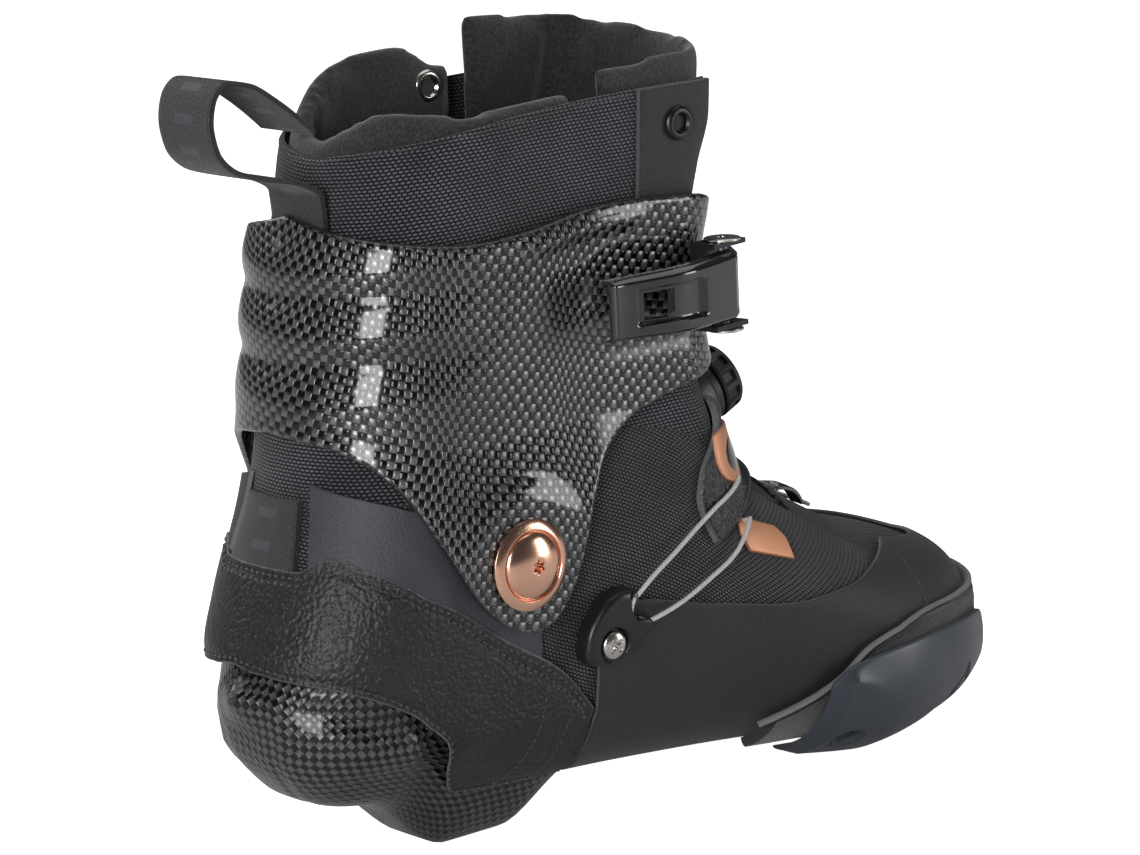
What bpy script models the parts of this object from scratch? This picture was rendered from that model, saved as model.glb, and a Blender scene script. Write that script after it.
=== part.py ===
"""Hinged-cuff skating boot for the right foot: toe along +X, inner side along +Y, sole on Z = 0.
The origin is on the flat face of the heel's mounting pad.

The boot is a lofted last.  Every shell, panel and strap is a patch of that last, lifted along its
normal by its own layer height.  All sizes below are in millimetres.
"""
import bmesh
import bpy
import numpy as np
from mathutils import Matrix, Vector

# ---- driving dimensions, mm ----
BOOT_LENGTH = 280.5      # back of the heel to the tip of the toe
BALL_WIDTH = 102.0       # across the ball of the foot
COLLAR_HEIGHT = 218.0    # sole to the collar's front edge
SKIN = 1.1               # knit and mesh upper
PANEL = 1.0              # leather and microfibre overlays
SHELL_WALL = 2.2         # carbon sole shell
CUFF_WALL = 2.2          # carbon cuff
CUFF_CLEARANCE = 1.1     # running gap between overlays and cuff
WASHER_RADIUS = 13.4
PIVOT_BORE = 5.0
BUCKLE_WIDTH = 26.0
STRAP_WIDTH = 18.0
WEBBING_WIDTH = 25.0
DIAL_RADIUS = 11.5
WIRE = 1.4               # lace wire diameter
GAP = 0.8                # clearance between neighbouring layers
FIT = 0.4                # clearance round hardware

MM = 0.001
SCALE = np.array([BOOT_LENGTH / 280.5, BALL_WIDTH / 102.0, COLLAR_HEIGHT / 218.0])
ORIGIN = np.array([90.0, 0.0, 0.0]) * SCALE      # the frame's origin, on the heel pad
SPINE_REAR = 45.0
SPINE_FRONT = 235.0
SPINE_Z = 34.0
LEG_X = 85.0
PIVOT_X = 77.0
PIVOT_Z = 90.0
LAYER = GAP + 0.3             # underside of the overlays
OVER = LAYER + PANEL               # top of the overlays
CUFF_IN = OVER + CUFF_CLEARANCE
CUFF_OUT = CUFF_IN + CUFF_WALL

for old in list(bpy.data.objects):
    bpy.data.objects.remove(old, do_unlink=True)


# ---- the last ----
def curve(*stations):
    """Smooth curve through (position, value) stations that never overshoots them."""
    x, y = np.array(stations, float).T
    step = np.diff(x)
    slope = np.diff(y) / step
    tangent = np.zeros(len(x))
    tangent[0], tangent[-1] = slope[0], slope[-1]
    for i in range(1, len(x) - 1):
        if slope[i - 1] * slope[i] > 0:
            a, b = 2 * step[i] + step[i - 1], step[i] + 2 * step[i - 1]
            tangent[i] = (a + b) / (a / slope[i - 1] + b / slope[i])

    def value(t):
        t = np.clip(np.asarray(t, float), x[0], x[-1])
        i = np.clip(np.searchsorted(x, t) - 1, 0, len(x) - 2)
        s = (t - x[i]) / step[i]
        rise = (1 + 2 * s) * (1 - s) ** 2 * y[i] + s * s * (3 - 2 * s) * y[i + 1]
        return rise + step[i] * (s * (1 - s) ** 2 * tangent[i] + s * s * (s - 1) * tangent[i + 1])
    return value


HEEL_X, TOE_X = 7.0, 287.5
TOP = curve((7, 60), (25, 100), (60, 125), (110, 128), (150, 116), (180, 101), (197, 91), (213, 80),
            (233, 69), (255, 62), (270, 55), (280.5, 46), (285.5, 39), (287.5, 34))
BOTTOM = curve((7, 56), (9, 44), (13, 33), (20, 25), (34, 20), (60, 17), (105, 16), (150, 13.5),
               (187, 11), (220, 9), (250, 11), (268, 17), (280.5, 25), (287.5, 34))
OUTER = curve((7, 2), (8, 9), (11, 16), (17, 23), (27, 29), (40, 32.5), (60, 35.5), (80, 38), (105, 40.5),
              (150, 45), (190, 50), (215, 51), (240, 46.5), (260, 37), (273, 25.5), (282, 13.5),
              (286, 5), (287.5, -4))
INNER = curve((7, 2), (8, 6), (11, 11), (17, 17.5), (27, 25), (40, 30), (60, 33.5), (80, 35.5), (105, 36.5),
              (150, 41), (190, 47.5), (215, 50), (240, 48.5), (258, 43), (272, 34), (282, 24),
              (286, 15.5), (287.5, 8))
LEG_BACK = curve((40, 10), (55, 8), (68, 8.5), (80, 13), (94, 19), (107, 23), (120, 25.5), (140, 29),
                 (165, 32.5), (178, 34.5), (190, 38), (205, 41), (218, 45), (232, 50))
LEG_FRONT = curve((40, 150), (80, 172), (100, 176), (112, 174), (125, 170), (140, 166), (160, 165),
                  (180, 167), (195, 171), (210, 177), (232, 178))
LEG_HALF = curve((40, 33), (60, 35.5), (80, 38.5), (92, 40), (108, 39), (128, 37), (150, 37.5), (175, 38.5),
                 (200, 39.5), (232, 40.5))

CREST = curve((7, 2.5), (105, 2.4), (150, 1.8), (205, 1.75), (235, 2.1), (262, 2.5))   # squareness of the top


def last(p):
    """Signed form of the last at nominal size: below zero inside, zero on the upper's face."""
    x, y, z = p[..., 0], p[..., 1], p[..., 2]
    xc = np.clip(x, HEEL_X + 0.4, TOE_X - 0.4)
    half = np.maximum((OUTER(xc) + INNER(xc)) / 2, 1)
    middle = (INNER(xc) - OUTER(xc)) / 2
    rise = np.maximum((TOP(xc) - BOTTOM(xc)) / 2, 1)
    level = (TOP(xc) + BOTTOM(xc)) / 2
    power = np.where(z > level, CREST(xc), 3.0)
    oval = ((np.abs(y - middle) / half) ** power + (np.abs(z - level) / rise) ** power) ** (1 / power)
    foot = (oval - 1) * np.minimum(half, rise)
    foot = foot + np.maximum(np.maximum(x - TOE_X + 0.4, HEEL_X + 0.4 - x), 0)
    zc = np.clip(z, 40, 232)
    a, back, front = LEG_HALF(zc), LEG_BACK(zc), LEG_FRONT(zc)
    r = a * 0.95
    centre = np.clip(x, back + r, front - r * 0.6)
    along = np.where(x < back + r, r, r * 0.6)
    ring = ((np.abs(y) / a) ** 2.1 + (np.abs(x - centre) / along) ** 2.1) ** (1 / 2.1)
    leg = np.where(z < 40, np.maximum(ring - 1, 0), ring - 1) * a + np.maximum(40 - z, 0)
    mix = np.clip(0.5 + (leg - foot) / 28, 0, 1)
    return leg * (1 - mix) + foot * mix - 14 * mix * (1 - mix)


def cast(origin, way):
    """Where rays from inside leave the last, with the outward normal there, both at real size."""
    origin, way = np.broadcast_arrays(np.asarray(origin, float), np.asarray(way, float))
    steps = np.linspace(0, 330, 81)
    outside = last(origin[..., None, :] + steps[:, None] * way[..., None, :]) > 0
    first = np.argmax(outside, axis=-1)
    low, high = steps[np.maximum(first - 1, 0)], steps[first]
    for _ in range(26):
        mid = (low + high) / 2
        inside = last(origin + mid[..., None] * way) < 0
        low, high = np.where(inside, mid, low), np.where(inside, high, mid)
    p = origin + low[..., None] * way
    axes = np.eye(3) * 0.05
    slope = np.stack([last(p + e) - last(p - e) for e in axes], -1) / SCALE
    return p * SCALE - ORIGIN, slope / np.linalg.norm(slope, axis=-1, keepdims=True)


def around(q, v):
    """Loop round the foot.  q: 0 heel, 1 to 3 outer side (X 45 to 235), 4 toe, negative on the
    inner side.  v: mm above the spine, or degrees below it when negative."""
    q, v = np.broadcast_arrays(np.asarray(q, float), np.asarray(v, float))
    side, a = np.sign(q), np.abs(q)
    x = SPINE_REAR + (SPINE_FRONT - SPINE_REAR) * np.clip((a - 1) / 2, 0, 1)
    turn = np.radians(90 * np.where(a < 1, a, np.where(a > 3, 4 - a, 1)))
    fore = np.where(a < 1, -np.cos(turn), np.where(a > 3, np.cos(turn), 0))
    across = -side * np.sin(turn)
    tilt = np.radians(np.minimum(v, 0))
    way = np.stack([fore * np.cos(tilt), across * np.cos(tilt), np.sin(tilt)], -1)
    return cast(np.stack([x, 0 * x, SPINE_Z + np.maximum(v, 0)], -1), way)


def toe_fan(q, lift):
    """Like around() at the toe end, but v above zero is degrees above the spine."""
    q, lift = np.broadcast_arrays(np.asarray(q, float), np.asarray(lift, float))
    turn, tilt = np.radians(90 * (4 - np.abs(q))), np.radians(lift)
    way = np.stack([np.cos(turn) * np.cos(tilt), -np.sign(q) * np.sin(turn) * np.cos(tilt), np.sin(tilt)], -1)
    return cast(np.stack([0 * q + SPINE_FRONT, 0 * q, 0 * q + SPINE_Z], -1), way)


def leg_at(angle, z):
    """Round the leg: angle 0 at the back, 90 on the outer side, 180 in front, negative inside."""
    angle, z = np.broadcast_arrays(np.radians(np.asarray(angle, float)), np.asarray(z, float))
    way = np.stack([-np.cos(angle), -np.sin(angle), 0 * angle], -1)
    return cast(np.stack([0 * z + LEG_X, 0 * z, z], -1), way)


def over(x, tilt):
    """Over the instep: tilt in degrees from straight up, positive to the outer side."""
    x, tilt = np.broadcast_arrays(np.asarray(x, float), np.radians(np.asarray(tilt, float)))
    way = np.stack([0 * x, -np.sin(tilt), np.cos(tilt)], -1)
    return cast(np.stack([x, (INNER(x) - OUTER(x)) / 2, 0 * x + SPINE_Z + 6], -1), way)


def flank(side, x, z):
    """Straight out to the outer (side 1) or inner (side -1) wall at the given X and Z."""
    x, z = np.broadcast_arrays(np.asarray(x, float), np.asarray(z, float))
    return cast(np.stack([x, 0 * x, z], -1), np.array([0.0, -side, 0.0]) + 0 * x[..., None])


def blend(low, high, t):
    return low + (high - low) * t


# ---- materials and solids ----
COLOURS = {
    "carbon_clear": ((0.012, 0.012, 0.014), 0.12, 0.3),
    "carbon_satin": ((0.02, 0.02, 0.022), 0.3, 0.3),
    "mesh_fabric": ((0.012, 0.012, 0.014), 0.8, 0.0),
    "microfibre": ((0.018, 0.018, 0.021), 0.6, 0.0),
    "grain_leather": ((0.012, 0.014, 0.018), 0.45, 0.0),
    "smooth_film": ((0.045, 0.05, 0.06), 0.4, 0.0),
    "neoprene": ((0.02, 0.018, 0.017), 0.95, 0.0),
    "webbing": ((0.015, 0.015, 0.018), 0.85, 0.0),
    "piping": ((0.25, 0.25, 0.24), 0.8, 0.0),
    "moulded_plastic": ((0.035, 0.04, 0.048), 0.5, 0.0),
    "black_plastic": ((0.01, 0.01, 0.01), 0.2, 0.0),
    "soft_rubber": ((0.015, 0.015, 0.016), 0.6, 0.0),
    "copper": ((0.72, 0.38, 0.26), 0.25, 1.0),
    "steel": ((0.6, 0.6, 0.6), 0.3, 1.0),
    "black_steel": ((0.05, 0.05, 0.05), 0.3, 1.0),
    "foam": ((0.03, 0.03, 0.03), 0.9, 0.0),
}
MATERIALS = {}
for slot, (rgb, rough, metal) in COLOURS.items():
    shader = bpy.data.materials.new(slot)
    shader.use_nodes = True
    principled = shader.node_tree.nodes["Principled BSDF"]
    principled.inputs["Base Color"].default_value = (*rgb, 1)
    principled.inputs["Roughness"].default_value = rough
    principled.inputs["Metallic"].default_value = metal
    MATERIALS[slot] = shader


def pivot(name, place):
    """Empty on a joint's axis, which carries the pieces that move about it."""
    empty = bpy.data.objects.new(name, None)
    empty.location = Vector([float(c) for c in place]) * MM
    bpy.context.scene.collection.objects.link(empty)
    return empty


def finish(name, bm, material, parent=None, sharp=40):
    bmesh.ops.remove_doubles(bm, verts=bm.verts[:], dist=0.00001)
    bmesh.ops.dissolve_degenerate(bm, dist=0.000005, edges=bm.edges[:])
    bmesh.ops.recalc_face_normals(bm, faces=bm.faces[:])
    mesh = bpy.data.meshes.new(name)
    bm.to_mesh(mesh)
    bm.free()
    mesh.shade_smooth()
    mesh.set_sharp_from_angle(angle=np.radians(sharp))
    mesh.materials.append(MATERIALS[material])
    item = bpy.data.objects.new(name, mesh)
    bpy.context.scene.collection.objects.link(item)
    if parent:
        item.parent = parent
        item.matrix_parent_inverse = Matrix.Translation(parent.location).inverted()
    return item


def panel(name, place, columns, rows, inner, outer, material, parent=None, shape=None):
    """Solid patch: a grid put on the last by place(u, v), thickened from inner to outer.
    Both heights may be functions of (u, v).  shape(point, top) may adjust the finished points."""
    bm = bmesh.new()
    bmesh.ops.create_grid(bm, x_segments=columns, y_segments=rows, size=1.0)
    uv = np.array([v.co[:2] for v in bm.verts]) / 2 + 0.5
    u, v = uv.T
    point, normal = place(u, v)
    sheets = []
    for top, height in ((False, inner), (True, outer)):
        lift = height(u, v) if callable(height) else height + 0 * u
        sheet = point + normal * lift[:, None]
        sheets.append(shape(sheet, top) if shape else sheet)
    number = bm.verts.layers.int.new("number")
    for i, vert in enumerate(bm.verts):
        vert[number] = i
        vert.co = sheets[0][i] * MM
    bmesh.ops.remove_doubles(bm, verts=bm.verts[:], dist=0.00002)
    made = bmesh.ops.extrude_face_region(bm, geom=bm.faces[:], use_keep_orig=True)["geom"]
    for vert in made:
        if isinstance(vert, bmesh.types.BMVert):
            vert.co = sheets[1][vert[number]] * MM
    return finish(name, bm, material, parent)


def turned(name, profile, frame, material, segments=24, parent=None, sharp=35):
    """Solid of revolution about the frame's Z: profile is (radius, height), bottom to top."""
    bm = bmesh.new()
    verts = [bm.verts.new((max(r, 0) * MM, 0, h * MM)) for r, h in profile]
    edges = [bm.edges.new(pair) for pair in zip(verts[:-1], verts[1:])]
    if profile[0][0] > 0:
        edges.append(bm.edges.new((verts[-1], verts[0])))
    bmesh.ops.spin(bm, geom=verts + edges, cent=(0, 0, 0), axis=(0, 0, 1), angle=2 * np.pi,
                   steps=segments, use_merge=True)
    bmesh.ops.transform(bm, matrix=frame, verts=bm.verts[:])
    return finish(name, bm, material, parent, sharp)


def frame_on(point, normal, along=(0, 0, 1), lift=0.0):
    """Placing frame with Z on the normal and X as near as possible to the given direction."""
    z = Vector([float(c) for c in normal]).normalized()
    x = Vector(along)
    x = (x - z * x.dot(z)).normalized()
    origin = Vector([float(c) for c in point]) + z * lift
    turn = Matrix((x, z.cross(x), z)).transposed().to_4x4()
    return Matrix.Translation(origin * MM) @ turn


def block(name, size, frame, material, bevel=0.4, parent=None, cut=None):
    """Bevelled box centred on the frame's X and Y and standing on its Z = 0."""
    bm = bmesh.new()
    bmesh.ops.create_cube(bm, size=1.0)
    for vert in bm.verts:
        vert.co = Vector((vert.co.x * size[0], vert.co.y * size[1], (vert.co.z + 0.5) * size[2])) * MM
    if bevel:
        bmesh.ops.bevel(bm, geom=bm.edges[:], offset=bevel * MM, offset_type="OFFSET", segments=1,
                        profile=0.5, affect="EDGES", material=-1)
    bmesh.ops.transform(bm, matrix=frame, verts=bm.verts[:])
    return finish(name, bm, material, parent)


def wire(name, points, diameter, material, parent=None):
    """Round cord through the points, as a bevelled curve with closed ends."""
    data = bpy.data.curves.new(name, "CURVE")
    data.dimensions = "3D"
    data.bevel_depth = diameter / 2 * MM
    data.bevel_resolution = 2
    data.use_fill_caps = True
    spline = data.splines.new("POLY")
    spline.points.add(len(points) - 1)
    for knot, p in zip(spline.points, points):
        knot.co = (*(np.asarray(p, float) * MM), 1)
    data.materials.append(MATERIALS[material])
    item = bpy.data.objects.new(name, data)
    bpy.context.scene.collection.objects.link(item)
    return item


def cut_with(target, name, frame, radius, low, high, segments=24):
    """Round hole through the target, from low to high along the frame's Z."""
    bm = bmesh.new()
    bmesh.ops.create_cone(bm, cap_ends=True, segments=segments, radius1=radius * MM, radius2=radius * MM,
                          depth=(high - low) * MM)
    bmesh.ops.translate(bm, vec=(0, 0, (high + low) / 2 * MM), verts=bm.verts[:])
    bmesh.ops.transform(bm, matrix=frame, verts=bm.verts[:])
    tool = finish(name, bm, "steel")
    tool.hide_render = True
    tool.display_type = "WIRE"
    boolean = target.modifiers.new(name, "BOOLEAN")
    boolean.operation = "DIFFERENCE"
    boolean.solver = "EXACT"
    boolean.object = tool


def smooth(t):
    t = np.clip(t, 0, 1)
    return t * t * (3 - 2 * t)


# ---- carbon sole shell: heel cup, shank and forefoot tray with two mounting pads ----
RIM = curve((0, 41), (0.6, 41), (1.0, 48), (1.34, 66), (1.6, 44), (2.0, 16), (3.0, 6), (4.0, 3))
UPPER_FOOT = curve((0, 33), (0.5, 29), (0.85, 20), (1.07, 8), (1.2, -14), (4.0, -14))


UNDER = -SKIN - GAP - 0.6


def pad(x, y, centre, length, width):
    ends = np.clip((length - np.abs((x + ORIGIN[0]) / SCALE[0] - centre)) / 10, 0, 1)
    sides = np.clip((width - np.abs(y / SCALE[1])) / 9, 0, 1)
    return smooth(ends) * smooth(sides)


def shell_level(q, v):
    return np.where(v < 0.4, RIM(q) * (1 - v / 0.4), -(v - 0.4) / 0.6 * 90)


SHELL_STATIONS = curve((0, 0), (0.3, 1.05), (0.52, 1.65), (0.8, 3.0), (1, 4))     # closer at the heel pad


def shell_q(u):
    return np.sign(u - 0.5) * SHELL_STATIONS(np.abs(2 * u - 1))


def shell_place(u, v):
    q = shell_q(u)
    return around(q, shell_level(np.abs(q), v))


def shell_height(top):
    def height(u, v):
        q = np.abs(shell_q(u))
        bare = smooth((UPPER_FOOT(q) - 2 - shell_level(q, v)) / 8) * smooth((1.1 - q) / 0.15)
        outer = UNDER * (1 - bare)
        return outer if top else UNDER - SHELL_WALL + 0 * outer
    return height


def shell_pads(p, top):
    if top:
        weight = np.maximum(pad(p[:, 0], p[:, 1], 84, 27, 19), pad(p[:, 0], p[:, 1], 228, 36, 24))
        weight = np.where(p[:, 2] < 30, weight, 0)
        p[:, 2] = np.where(weight > 0.999, 0, p[:, 2] * (1 - weight))
    return p


shell = panel("carbon_shell", shell_place, 60, 12, shell_height(False), shell_height(True), "carbon_satin",
              shape=shell_pads)
for spot, x in (("heel", 79.0), ("front", 228.0)):
    base = Matrix.Translation(Vector((x * SCALE[0] - ORIGIN[0], 0, 0)) * MM)
    cut_with(shell, "insert_bore_" + spot, base, 5.3, -2, 7.0)
    turned("frame_insert_" + spot, [(3.0, 0.5), (5.0, 0.5), (5.0, 6.6), (3.0, 6.6)], base, "steel", 24)

# ---- inside: footbed and padded heel pocket ----
BED = UNDER - SHELL_WALL - GAP - 1.6
panel("footbed", lambda u, v: around(blend(-4, 4, u), blend(-38, -90, v)), 32, 3, BED - 4, BED, "foam")


def pocket_place(u, v):
    q = blend(-2.15, 2.15, u)
    top = curve((0, 66), (0.8, 70), (1.35, 74), (1.7, 60), (2.15, 30))(np.abs(q))
    return around(q, blend(-22, top, v))


panel("heel_pocket", pocket_place, 28, 6, BED - 4, BED, "neoprene")

# ---- knit and mesh upper ----
panel("heel_counter", lambda u, v: around(blend(-0.995, 0.995, u), blend(UPPER_FOOT(np.abs(blend(-1, 1, u))) + 1,
      78, v)), 12, 4, -SKIN, 0, "mesh_fabric")
QUARTER_TOP = curve((45, 112), (77, 118), (119, 121), (140, 118), (158, 108), (170, 99), (185, 88), (205, 75),
                    (225, 63), (232.5, 59))
QUARTER_FOOT = curve((45, 51), (60, 46), (105, 37), (232.5, 36))
for side, word in ((1, "lateral"), (-1, "medial")):
    def quarter_place(u, v, side=side):
        x = blend(45.5, 232.5, u)
        return flank(side, x, blend(QUARTER_FOOT(x), QUARTER_TOP(x), v))
    panel("quarter_" + word, quarter_place, 18, 8, -SKIN + 0.1, -0.3, "mesh_fabric")
panel("vamp_knit", lambda u, v: over(blend(233.3, 280, u), blend(-76, 76, v)), 7, 16, -SKIN, 0, "mesh_fabric")

# ---- overlays: microfibre sides and toe, grained leather heel, ankle patches ----
SIDE_TOP = curve((104.8, 36), (116, 36.5), (150, 29.5), (185, 24), (205, 24.5), (220, 27), (234.5, 29))
for side, word in ((1, "lateral"), (-1, "medial")):
    def side_place(u, v, side=side):
        x = blend(105.2, 234.6, u)
        q = side * (1 + 2 * (x - SPINE_REAR) / (SPINE_FRONT - SPINE_REAR))
        return around(q, np.where(v < 0.3, blend(-34, 0, v / 0.3), SIDE_TOP(x) * (v - 0.3) / 0.7))
    panel("side_panel_" + word, side_place, 14, 6, LAYER, OVER, "microfibre")


def toe_place(u, v):
    q = blend(3.004, 4.996, u)
    q = np.where(q > 4, q - 8, q)
    return toe_fan(q, blend(-12, curve((3, 46), (3.5, 41), (4, 34))(np.abs(q)), v))


panel("toe_cap", toe_place, 20, 7, LAYER, OVER, "microfibre")

OVERLAY_FOOT = curve((0, 33), (0.5, 29), (0.85, 20), (1.07, 7), (1.18, -26), (1.62, -32))
OVERLAY_TOP = curve((0, 60), (0.35, 60), (0.55, 64), (0.8, 59), (1.07, 48), (1.3, 33), (1.49, 21), (1.62, 7))


def overlay_place(u, v):
    q = blend(-1.62, 1.62, u)
    return around(q, blend(OVERLAY_FOOT(np.abs(q)), OVERLAY_TOP(np.abs(q)), v))


panel("heel_overlay", overlay_place, 32, 7, LAYER + 0.6, OVER + 0.4, "grain_leather")
for side, word in ((1, "lateral"), (-1, "medial")):
    def patch_place(u, v, side=side):
        q = blend(0.42, 1.42, u)
        low = OVERLAY_TOP(q) + 1.5
        return around(side * q, blend(low, np.maximum(curve((0.42, 84), (1.0, 76), (1.42, 44))(q), low + 4), v))
    panel("ankle_patch_" + word, patch_place, 9, 4, LAYER, OVER - 0.3, "smooth_film")
panel("heel_webbing", lambda u, v: around(blend(-0.34, 0.34, u), blend(61.5, 77.5, v)), 6, 3, LAYER, OVER,
      "webbing")

# ---- toe end: rand, its piping and the moulded bumper with two screws ----
RAND_TOP = curve((2.3, -16), (2.55, -4), (2.7, 5), (2.95, 9), (3.4, 8), (4.0, 5))


def wrap_toe(low, high, start):
    def place(u, v):
        q = blend(start, 8 - start, u)
        q = np.where(q > 4, q - 8, q)
        return around(q, blend(low(np.abs(q)), high(np.abs(q)), v))
    return place


RAND = OVER + GAP + 1.5
panel("toe_rand", wrap_toe(lambda q: -34 + 0 * q, RAND_TOP, 2.35), 30, 5, RAND, RAND + 1.0, "microfibre")
route = []
for step in np.linspace(2.3, 5.7, 45):
    q = step if step <= 4 else step - 8
    p, n = around(q, RAND_TOP(abs(q)) + 1.6)
    route.append(p + n * (RAND + 0.5))
wire("rand_piping", route, 1.5, "piping")
GUARD = RAND + 1.0 + GAP + 0.3
guard_low = curve((2.5, -41), (3.2, -38), (4.0, -32))
guard_high = curve((2.5, -2), (2.6, 3), (3.0, 5), (3.4, 3), (3.6, -2), (4.0, -5))


def guard_height(u, v):
    return GUARD + 3.4 * smooth(np.minimum(v, 1 - v) * 3.2 + 0.25) * smooth(np.minimum(u, 1 - u) * 14 + 0.3)


guard = panel("toe_guard", wrap_toe(guard_low, guard_high, 2.52), 26, 5, GUARD, guard_height, "moulded_plastic")
for side, word in ((1, "lateral"), (-1, "medial")):
    p, n = around(side * 2.66, -22)
    seat = frame_on(p, n, lift=GUARD)
    cut_with(guard, "guard_bore_" + word, seat, 3.4, 1.0, 12)
    turned("guard_screw_" + word, [(0, 1.3), (3.0, 1.3), (3.0, 2.4), (2.5, 2.9), (0, 2.9)], seat, "black_steel", 16)

# ---- tongue, lace shield, badges ----
TONGUE = -SKIN - GAP
panel("tongue_lower", lambda u, v: over(blend(178, 231.5, u), blend(-30, 30, v)), 9, 8, TONGUE - 3.6, TONGUE,
      "neoprene")
SHIELD = GAP + 0.6
THROAT = np.array([130.0, 0.0, 70.0])                     # inside the throat, where its panel is laid from
THROAT_FOOT = curve((0, 21), (0.5, 19.5), (0.75, 17), (1, 13))
THROAT_HALF = curve((13, 60), (27, 64), (36, 62), (44, 48), (50, 34))


def throat(rise, turn):
    """Fan over the throat: degrees up from level, and degrees round to the outer side."""
    rise, turn = np.broadcast_arrays(np.radians(rise), np.radians(turn))
    way = np.stack([np.cos(turn) * np.cos(rise), -np.sin(turn) * np.cos(rise), np.sin(rise)], -1)
    return cast(THROAT + 0 * way, way)


def shield_place(u, v):
    part = blend(-1, 1, v)
    rise = blend(49, THROAT_FOOT(np.abs(part)), u)
    return throat(rise, part * THROAT_HALF(rise))


panel("tongue_shield", shield_place, 6, 14, SHIELD, SHIELD + 1.2, "grain_leather")
panel("badge", lambda u, v: throat(blend(42, 29, u), blend(30, 46, v)), 3, 4, SHIELD + 1.2 + GAP,
      SHIELD + 2.0 + GAP, "copper")
panel("side_tag", lambda u, v: flank(1, blend(166, 183, u), blend(-8, 0, v) + blend(85, 77, u)), 6, 3, GAP,
      GAP + 0.7, "copper")

# ---- lace dial: base, spool and pull-out knob on one axis ----
seat_point, seat_normal = leg_at(np.array(177.0), np.array(115.0))
dial = frame_on(seat_point, seat_normal, (0, 1, 0), SHIELD + 1.2 + GAP + 3.0)
dial_axis = pivot("dial_axis", dial.translation / MM)
turned("dial_base", [(0, 0), (12.2, 0), (12.2, 1.2), (11.0, 2.0), (11.0, 4.6), (8.4, 4.6), (8.4, 1.8), (0, 1.8)],
       dial, "black_plastic", 20)
turned("dial_spool", [(0, 2.2), (8.0, 2.2), (8.0, 4.6), (2.6, 4.6), (2.6, 7.8), (0, 7.8)], dial, "steel", 20,
       dial_axis)
turned("dial_knob", [(0, 8.2), (3.0, 8.2), (3.0, 5.0), (DIAL_RADIUS - 0.8, 5.0), (DIAL_RADIUS, 5.8),
                     (DIAL_RADIUS - 0.3, 11.6), (DIAL_RADIUS - 1.6, 13.0), (0, 13.0)], dial, "soft_rubber", 20,
       dial_axis)

# ---- lace guides, vamp loops and wires ----
LACE_X = curve((0, 164), (0.12, 149), (0.25, 132), (0.36, 119), (0.44, 114), (0.5, 113.2), (0.56, 115.5), (0.66, 127),
               (0.78, 142), (0.9, 156), (1, 166))
LACE_Z = curve((0, 97.5), (0.12, 91), (0.25, 83), (0.36, 76), (0.44, 71.5), (0.5, 67.5), (0.56, 64.5), (0.66, 66.5),
               (0.78, 71), (0.9, 77), (1, 84.5))
LACE_LIFT = curve((0, SHIELD + 2.4), (0.14, SHIELD + 2.4), (0.4, OVER + 4.4), (0.6, OVER + 4.4), (0.86, SHIELD + 2.4),
                  (1, SHIELD + 2.4))
for side, word in ((1, "lateral"), (-1, "medial")):
    def guide_place(u, v, side=side):
        span = blend(-1, 1, u)
        x = blend(99.5, 120.5, u)
        half = 6.2 - 3.2 * np.abs(span) ** 1.6
        return flank(side, x, 57.5 + 8.0 * u + half * blend(-1, 1, v))
    panel("lace_guide_" + word, guide_place, 8, 4, OVER + GAP, OVER + GAP + 2.2, "black_plastic")
    p, n = flank(side, 107.0, 60.5)
    turned("guide_screw_" + word, [(0, 0), (4.2, 0), (4.2, 0.8), (3.0, 1.9), (0, 2.2)],
           frame_on(p, n, lift=OVER + 3.2 + GAP), "steel", 20)
    path = []
    for t in np.linspace(0, 1, 32):
        p, n = flank(side, LACE_X(t), LACE_Z(t))
        path.append(p + n * LACE_LIFT(t))
    wire("lace_" + word, path, WIRE, "steel")
    p, n = over(np.array(216.0), np.array(10.0 * side))
    block("vamp_loop_" + word, (13, 7, 1.4), frame_on(p, n, (1, -0.25 * side, 0), GAP + 0.4), "grain_leather", 0.3)
path = []
for t in np.linspace(0, 1, 20):
    x = blend(206, 228, t)
    p, n = over(x, 15 * np.cos(2 * np.pi * t) * (1 - 0.5 * t))
    path.append(p + n * (GAP + 3.2))
wire("lace_front", path, WIRE, "steel")

# ---- hinged cuff and everything that rides on it ----
hinge = pivot("cuff_axis", np.array([PIVOT_X, 0, PIVOT_Z]) * SCALE - ORIGIN)
CUFF_TOP = curve((0, 192), (25, 187), (64, 184), (90, 185), (131, 189), (150, 187), (160, 183), (168, 180))
CUFF_FOOT = curve((0, 131), (20, 128), (30, 123), (40, 113), (50, 96), (58, 82), (66, 75), (74, 71), (83, 69.5),
                  (92, 71.5), (99, 77), (105, 85), (113, 101), (124, 116), (157, 134), (168, 138))
pivot_point = flank(1, PIVOT_X, PIVOT_Z)[0]
pivot_inner = flank(-1, PIVOT_X, PIVOT_Z)[0]


def cuff_place(u, v):
    angle = blend(-168, 168, u)
    return leg_at(angle, blend(CUFF_FOOT(np.abs(angle)), CUFF_TOP(np.abs(angle)), v))


def cuff_flats(p, top):
    """Flat seats round both pivots, so that the washers lie square to the hinge's axis."""
    reach = np.hypot(p[:, 0] - pivot_point[0], p[:, 2] - pivot_point[2])
    weight = smooth((27 - reach) / 9)
    lift = CUFF_OUT if top else CUFF_IN
    wall = np.where(p[:, 1] < 0, pivot_point[1] - lift, pivot_inner[1] + lift)
    p[:, 1] = blend(p[:, 1], wall, weight)
    return p


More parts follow.
